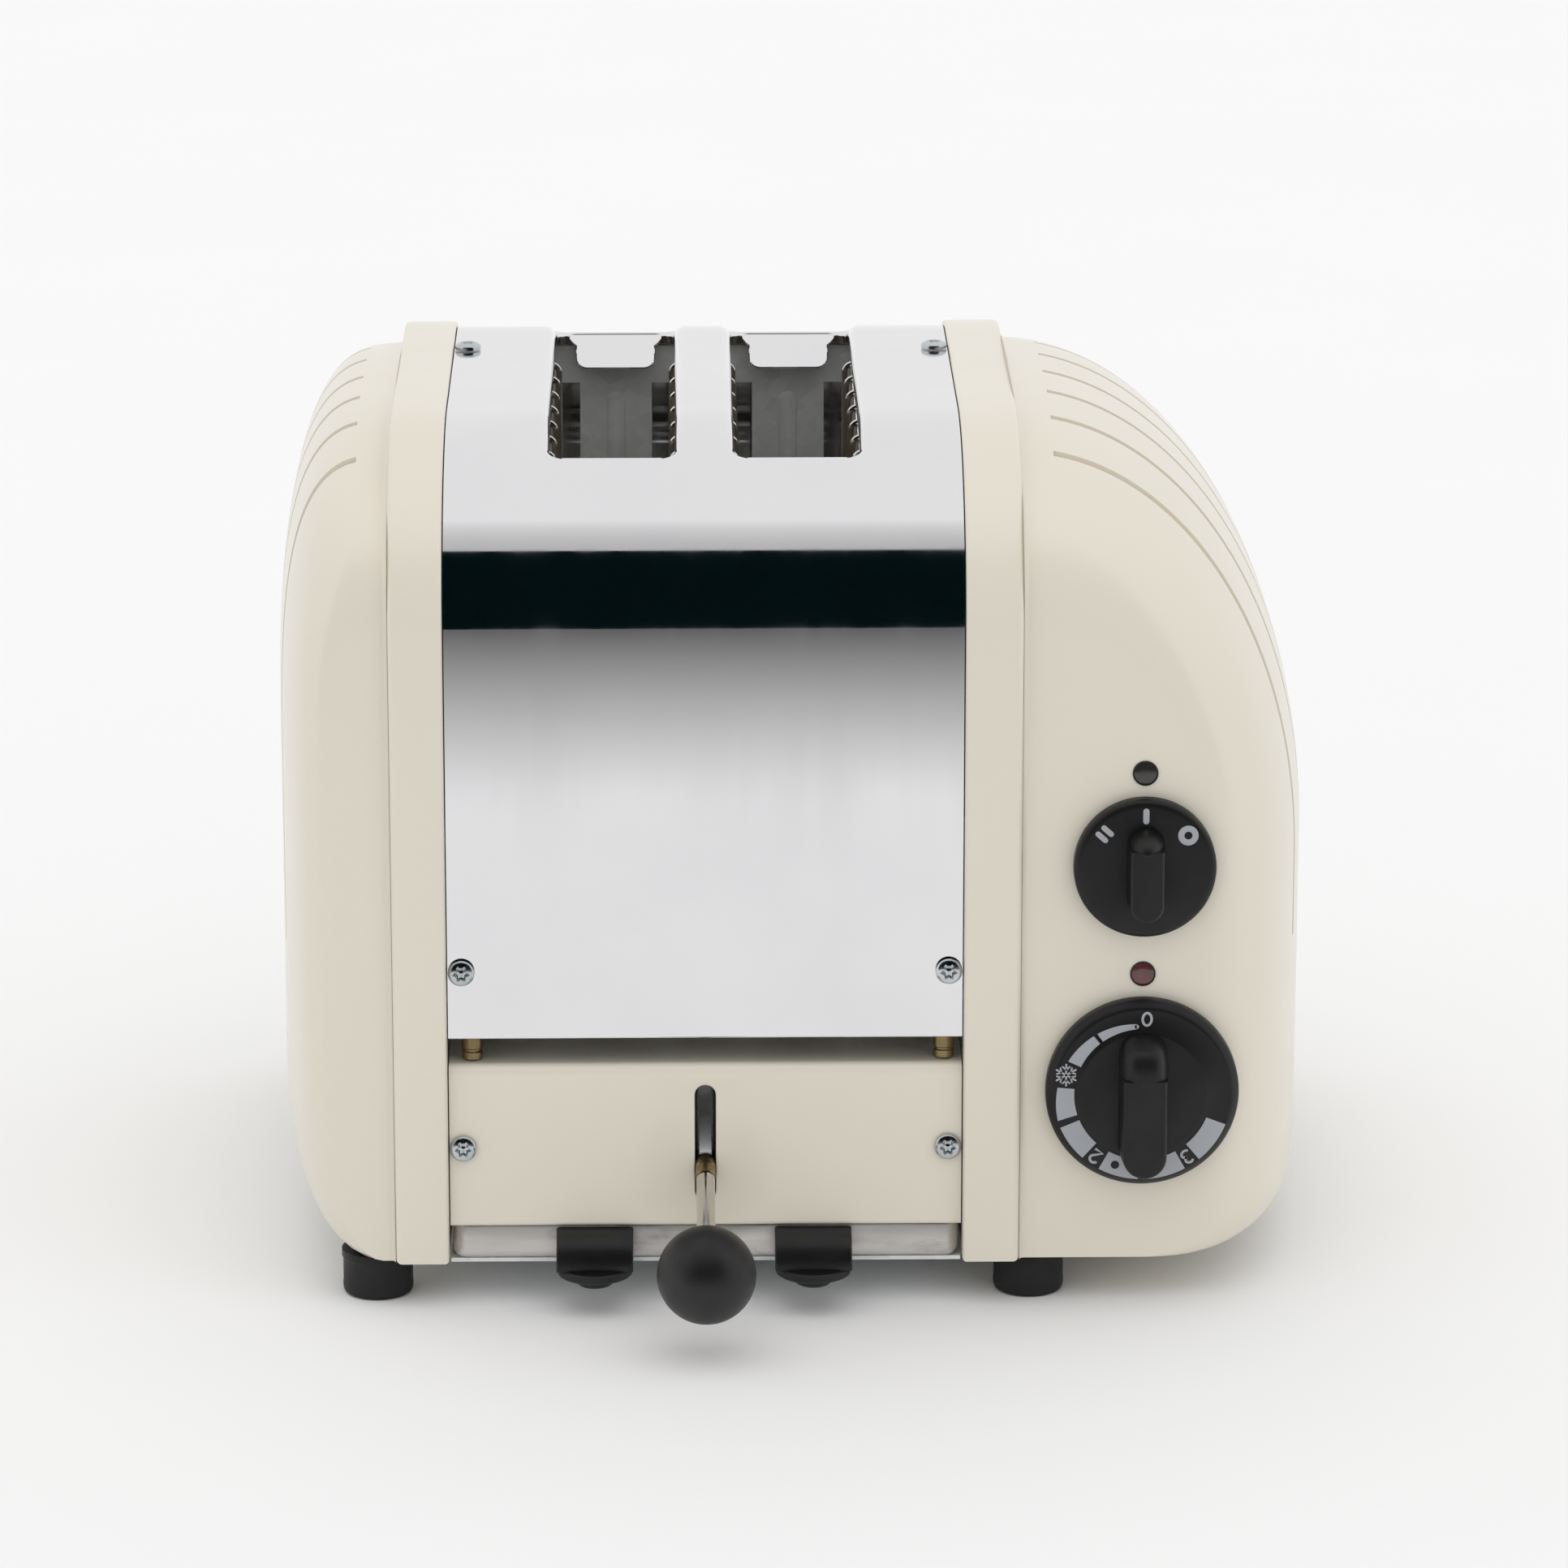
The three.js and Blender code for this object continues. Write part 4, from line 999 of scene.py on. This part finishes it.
def dial_band(start, end, height, rounded=False):
    """A stretch of the timer's tapering band between two angles, growing counter-clockwise."""
    inner = 16.9

    def outer(a):
        return 18.0 + 4.0 * min(1.0, abs(a) / 110)

    steps = max(4, round(abs(end - start) / 3))
    angles = [start + (end - start) * i / steps for i in range(steps + 1)]
    shape = Shape()
    rows = []
    for a in angles:
        low, high = polar(inner, a), polar(outer(a), a)
        rows.append([(*low, height - PRINT_DEPTH), (*low, height),
                     (*high, height), (*high, height - PRINT_DEPTH)])
    shape.grid(rows)
    shape.faces += [(0, 1, 2, 3), tuple(len(shape.points) - k for k in (1, 2, 3, 4))]
    if rounded:
        x, y = polar((inner + outer(start)) / 2, start)
        shape.add(slab(arc(x, y, 0.55, 0.55, 0, 340, 17), height - PRINT_DEPTH, height, 0.02))
    return shape


def digit(kind, height):
    """The digits 0, 2 and 3, about 3.6 mm tall, standing upright about the origin."""
    width = 0.62
    if kind == "0":
        return ribbon(arc(0, 0, 1.1, 1.6, 0, 350, 35), width, height, closed=True)
    if kind == "2":
        line = arc(0, 0.75, 1.05, 0.95, 165, -30, 12) + [(-1.05, -1.6), (1.25, -1.6)]
        return ribbon(line, width, height)
    upper, lower = arc(-0.1, 0.85, 0.95, 0.8, 150, -90, 12), arc(-0.1, -0.75, 1.1, 0.9, 90, -150, 12)
    return ribbon(upper, width, height).add(ribbon(lower, width, height))


def snowflake(height):
    shape = Shape()
    for arm in range(6):
        flake = round_bar(0, 0, 0, 2.35, 0.42, height)
        for way in (-1, 1):
            flake.add(round_bar(0, 1.15, way * 0.75, 1.85, 0.36, height))
        shape.add(flake, Matrix.Rotation(math.radians(60 * arm), 4, "Z"))
    return shape


def make_timer():
    thickness = 5
    disc = revolve([(0, 0), (23.2, 0), (23.9, 0.6), (23.9, thickness - 2.1), (23.6, thickness - 1.3),
                    (22.4, thickness - 0.35), (22.0, thickness - 0.05), (21.5, thickness), (16.3, thickness),
                    (16.0, thickness + 0.22), (15.4, thickness + 0.3), (0, thickness + 0.3)], 120)
    disc.add(grip_shape(dict(width=12.0, top_width=10.5, low=-19.0, step=4.2, high=15.6, height=11.8,
                             nose_back=2.3, nose_plan=0.6, nose_power=3.2, nose_lift=0.2), thickness + 0.2))
    move = dial_move(KNOB_X, 56.1)
    place("timer_dial", disc, "knob_plastic", body="timer", replaces=["timer_knob"], sharp=40, move=move)
    marks, level = Shape(), thickness + 0.12
    bands = [(-5.5, -36, True), (-39, -65, False), (-85, -108, False), (-113, -138, False),
             (-151, -177.5, False), (-181, -209, False), (-220, -249, False)]
    for start, end, rounded in bands:
        marks.add(dial_band(start, end, level, rounded))
    for kind, angle, radius in (("0", 2.5, 19.4), ("2", -144.5, 19.7), ("3", -214.5, 19.7)):
        x, y = polar(radius, angle)
        turn = at(x, y) @ Matrix.Rotation(math.radians(-angle), 4, "Z")
        marks.add(digit(kind, level), turn)
    x, y = polar(19.6, -75)
    marks.add(snowflake(level), at(x, y) @ Matrix.Diagonal((1.15, 1.15, 1, 1)))
    place("timer_marks", marks, "dial_print", body="timer", move=move)
    x, y = polar(19.4, -160)
    dot = slab(arc(x, y, 1.05, 1.05, 0, 345, 23), level - 0.1, level + 0.06, 0.02)
    place("timer_dot", dot, "knob_plastic", body="timer", move=move)


def make_lamps():
    for name, z, look in (("upper", 136.7, "dark_lens"), ("lower", 85.5, "red_lens")):
        lens_cap = revolve([(0, 0), (2.75, 0), (2.75, 8.75), (2.2, 8.9), (1.2, 8.98), (0, 9)], 48)
        place(f"{name}_lens", lens_cap, look, replaces=[f"{name}_lamp"], move=facing(-1, KNOB_X, -91.6, z))
        ring = revolve([(2.7, 0), (3.15, 0), (3.15, 8.7), (3.0, 8.95), (2.8, 8.9), (2.7, 8.6), (2.7, 0)], 48)
        ring.faces = [f for f in ring.faces if len(f) == 4]
        place(f"{name}_lamp_ring", ring, "black_plastic", move=facing(-1, KNOB_X, -91.6, z))


# ---- Tray and feet ----
def tray_shape():
    low, high, sheet = 11.8, 20.6, 1.2
    x0, x1, y0, y1 = -84.8, 40.9, -99.3, 90
    shape = Shape()

    def loop(inset, z, radius):
        ring = rounded_rectangle(x0 + inset, x1 - inset, y0 + inset, y1 - inset, radius)
        return [(x, y, z) for x, y in ring]

    shape.loft([loop(2.0, low, 2.0), loop(1.0, low + 0.3, 3.0), loop(0.25, low + 1.1, 3.7),
                loop(0, low + 2.2, 4), loop(0, high - 0.5, 4), loop(0.15, high - 0.1, 3.9),
                loop(0.5, high, 3.5),
                loop(sheet - 0.2, high - 0.05, 3), loop(sheet, high - 0.4, 2.8), loop(sheet, low + 2.4, 2.8),
                loop(sheet + 1.2, low + sheet, 1.6)])
    return shape


def clip_shape():
    """A grip: quarter-round across its top, with softened ends, a disc and a button beneath."""
    half, back = 9.5, -99.6
    shape = Shape()
    section = [(back, 20.2)] + [(back - 8.8 * math.sin(a), 11.4 + 8.8 * math.cos(a))
                                for a in (math.pi / 2 * i / 14 for i in range(15))] + [(back, 11.4)]
    rows = []
    for x, inset in ((-half, 0.4), (-half + 0.25, 0.1), (-half + 0.7, 0),
                     (half - 0.7, 0), (half - 0.25, 0.1), (half, 0.4)):
        rows.append([(x, min(y + inset, back), max(z - inset, 11.4)) for y, z in section])
    shape.loft(rows)
    disc = [(x, y) for x, y in arc(0, -103, 9.3, 9.3, 180, 360, 32)] + [(9.3, back), (-9.3, back)]
    shape.add(slab(disc, 9.3, 11.5, 0.35))
    button = arc(0, -103.6, 4.6, 4.6, 180, 360, 24) + [(4.6, back), (-4.6, back)]
    shape.add(slab(button, 6.8, 9.4, 0.5))
    return shape


def make_tray():
    place("tray_pan", tray_shape(), "tray_aluminium", body="tray", replaces=["crumb_tray"])
    for hand, x in (("left", -49.5), ("right", 4.7)):
        place(f"clip_grip_{hand}", clip_shape(), "black_plastic", body="tray",
              replaces=[f"tray_clip_{hand}"], move=at(x), sharp=40)


def make_feet():
    foot = revolve([(0, 0), (7.2, 0), (7.9, 0.15), (8.4, 0.5), (8.65, 1.0), (8.75, 1.6), (8.8, 2.4),
                    (8.7, 3.4), (8.7, 8.9), (8.8, 9.4), (9, 9.7), (9, 11.5), (0, 11.5)], 64)
    for row, way in (("front", -1), ("rear", 1)):
        for hand, x in (("left", -103.9), ("right", 58.8)):
            place(f"rubber_{row}_{hand}", foot, "foot_rubber", replaces=[f"foot_{row}_{hand}"],
                  move=at(x, way * 88.3, 0))


# ---- CAD nodes that stay, camera and light ----
def dress_cad_nodes():
    """Every CAD node that stays visible takes the look of its record slot."""
    slots = {part["node"]: part["material_slot"] for part in frame["record"]["subparts"]}
    for node, cad in frame["nodes"].items():
        cad.data.materials.clear()
        cad.data.materials.append(LOOKS[slots[node]])


def plain(name, colour, roughness, **constants):
    n = Nodes(name, colour, roughness, **constants)
    n.tint(n.noise(6, detail=3), tuple(c * 0.99 for c in colour), 0.5)
    return n.material


def stage_plane(name, corners, material):
    mesh = bpy.data.meshes.new(name)
    mesh.from_pydata(corners, [], [tuple(range(len(corners)))])
    mesh.materials.append(material)
    obj = bpy.data.objects.new(name, mesh)
    bpy.context.scene.collection.objects.link(obj)
    return obj


def reflected_card(name, start, end, material):
    """A card that only reflections see, between two opposite edges given as Y and Z."""
    corners = [(-CARD_HALF, *start), (CARD_HALF, *start), (CARD_HALF, *end), (-CARD_HALF, *end)]
    card = stage_plane(name, corners, material)
    card.visible_camera = card.visible_diffuse = False
    card.visible_shadow = card.visible_transmission = False


def fading(name, colour, axis, strength, start, end):
    """A dull dark material that fades out along one axis."""
    n = Nodes(name, colour, 1.0, Specular_IOR_Level=0.0)
    split = n.node("SeparateXYZ")
    n.link(n.coordinates, split.inputs["Vector"])
    n.link(n.spread(split.outputs[axis], strength, 0.0, start, end), n.shader.inputs["Alpha"])
    return n.material


def make_stage():
    """The floor, and the cards that give the chrome its dark band and the soft edges above and below it."""
    reach = 9.0
    floor = [(-reach, -reach, 0), (reach, -reach, 0), (reach, reach, 0), (-reach, reach, 0)]
    stage_plane("floor", floor, plain("pale_floor", (0.9, 0.9, 0.9), 0.9))
    dark = plain("dark_card", (0.0016, 0.0062, 0.0073), 1.0, Specular_IOR_Level=0.0)
    reflected_card("dark_card", (CARD_Y, 0), (CARD_Y, CARD_TOP), dark)
    fade = fading("fading_card", (0.0005, 0.0022, 0.003), "Y", 0.9, CARD_Y, CARD_Y + 0.22)
    reflected_card("floor_shade", (CARD_Y, 0.002), (-0.5, 0.002), fade)
    veil = fading("upper_veil", (0.02, 0.022, 0.025), "Z", 0.42, CARD_TOP, VEIL_TOP)
    reflected_card("upper_veil", (CARD_Y, CARD_TOP), (CARD_Y, VEIL_TOP), veil)


def make_light():
    world = bpy.data.worlds.new("studio")
    bpy.context.scene.world = world
    world.use_nodes = True
    sky = world.node_tree.nodes["Background"].inputs
    sky["Color"].default_value = (1.0, 1.0, 1.0, 1)
    sky["Strength"].default_value = 0.93
    sun = bpy.data.lights.new("overhead", "SUN")
    sun.energy, sun.angle = 0.42, math.radians(70)
    lamp = bpy.data.objects.new("overhead", sun)
    lamp.rotation_euler = (math.radians(12), math.radians(4), 0)
    lamp.visible_glossy = False
    bpy.context.scene.collection.objects.link(lamp)
    bpy.context.scene.view_settings.view_transform = "Standard"


def make_camera():
    data = bpy.data.cameras.new("camera")
    data.sensor_width = 36
    data.lens = 169.77
    data.clip_end = 50
    camera = bpy.data.objects.new("camera", data)
    camera.location = (-0.0305, -1.81458, 0.620)
    camera.rotation_euler = (math.radians(90 - 15.60), 0, math.radians(-0.901))
    bpy.context.scene.collection.objects.link(camera)
    bpy.context.scene.camera = camera


make_looks()
dress_cad_nodes()
make_castings()
make_cover()
make_panels()
make_screws()
make_chamber()
make_lever()
make_selector()
make_timer()
make_lamps()
make_tray()
make_feet()
make_stage()
make_light()
make_camera()
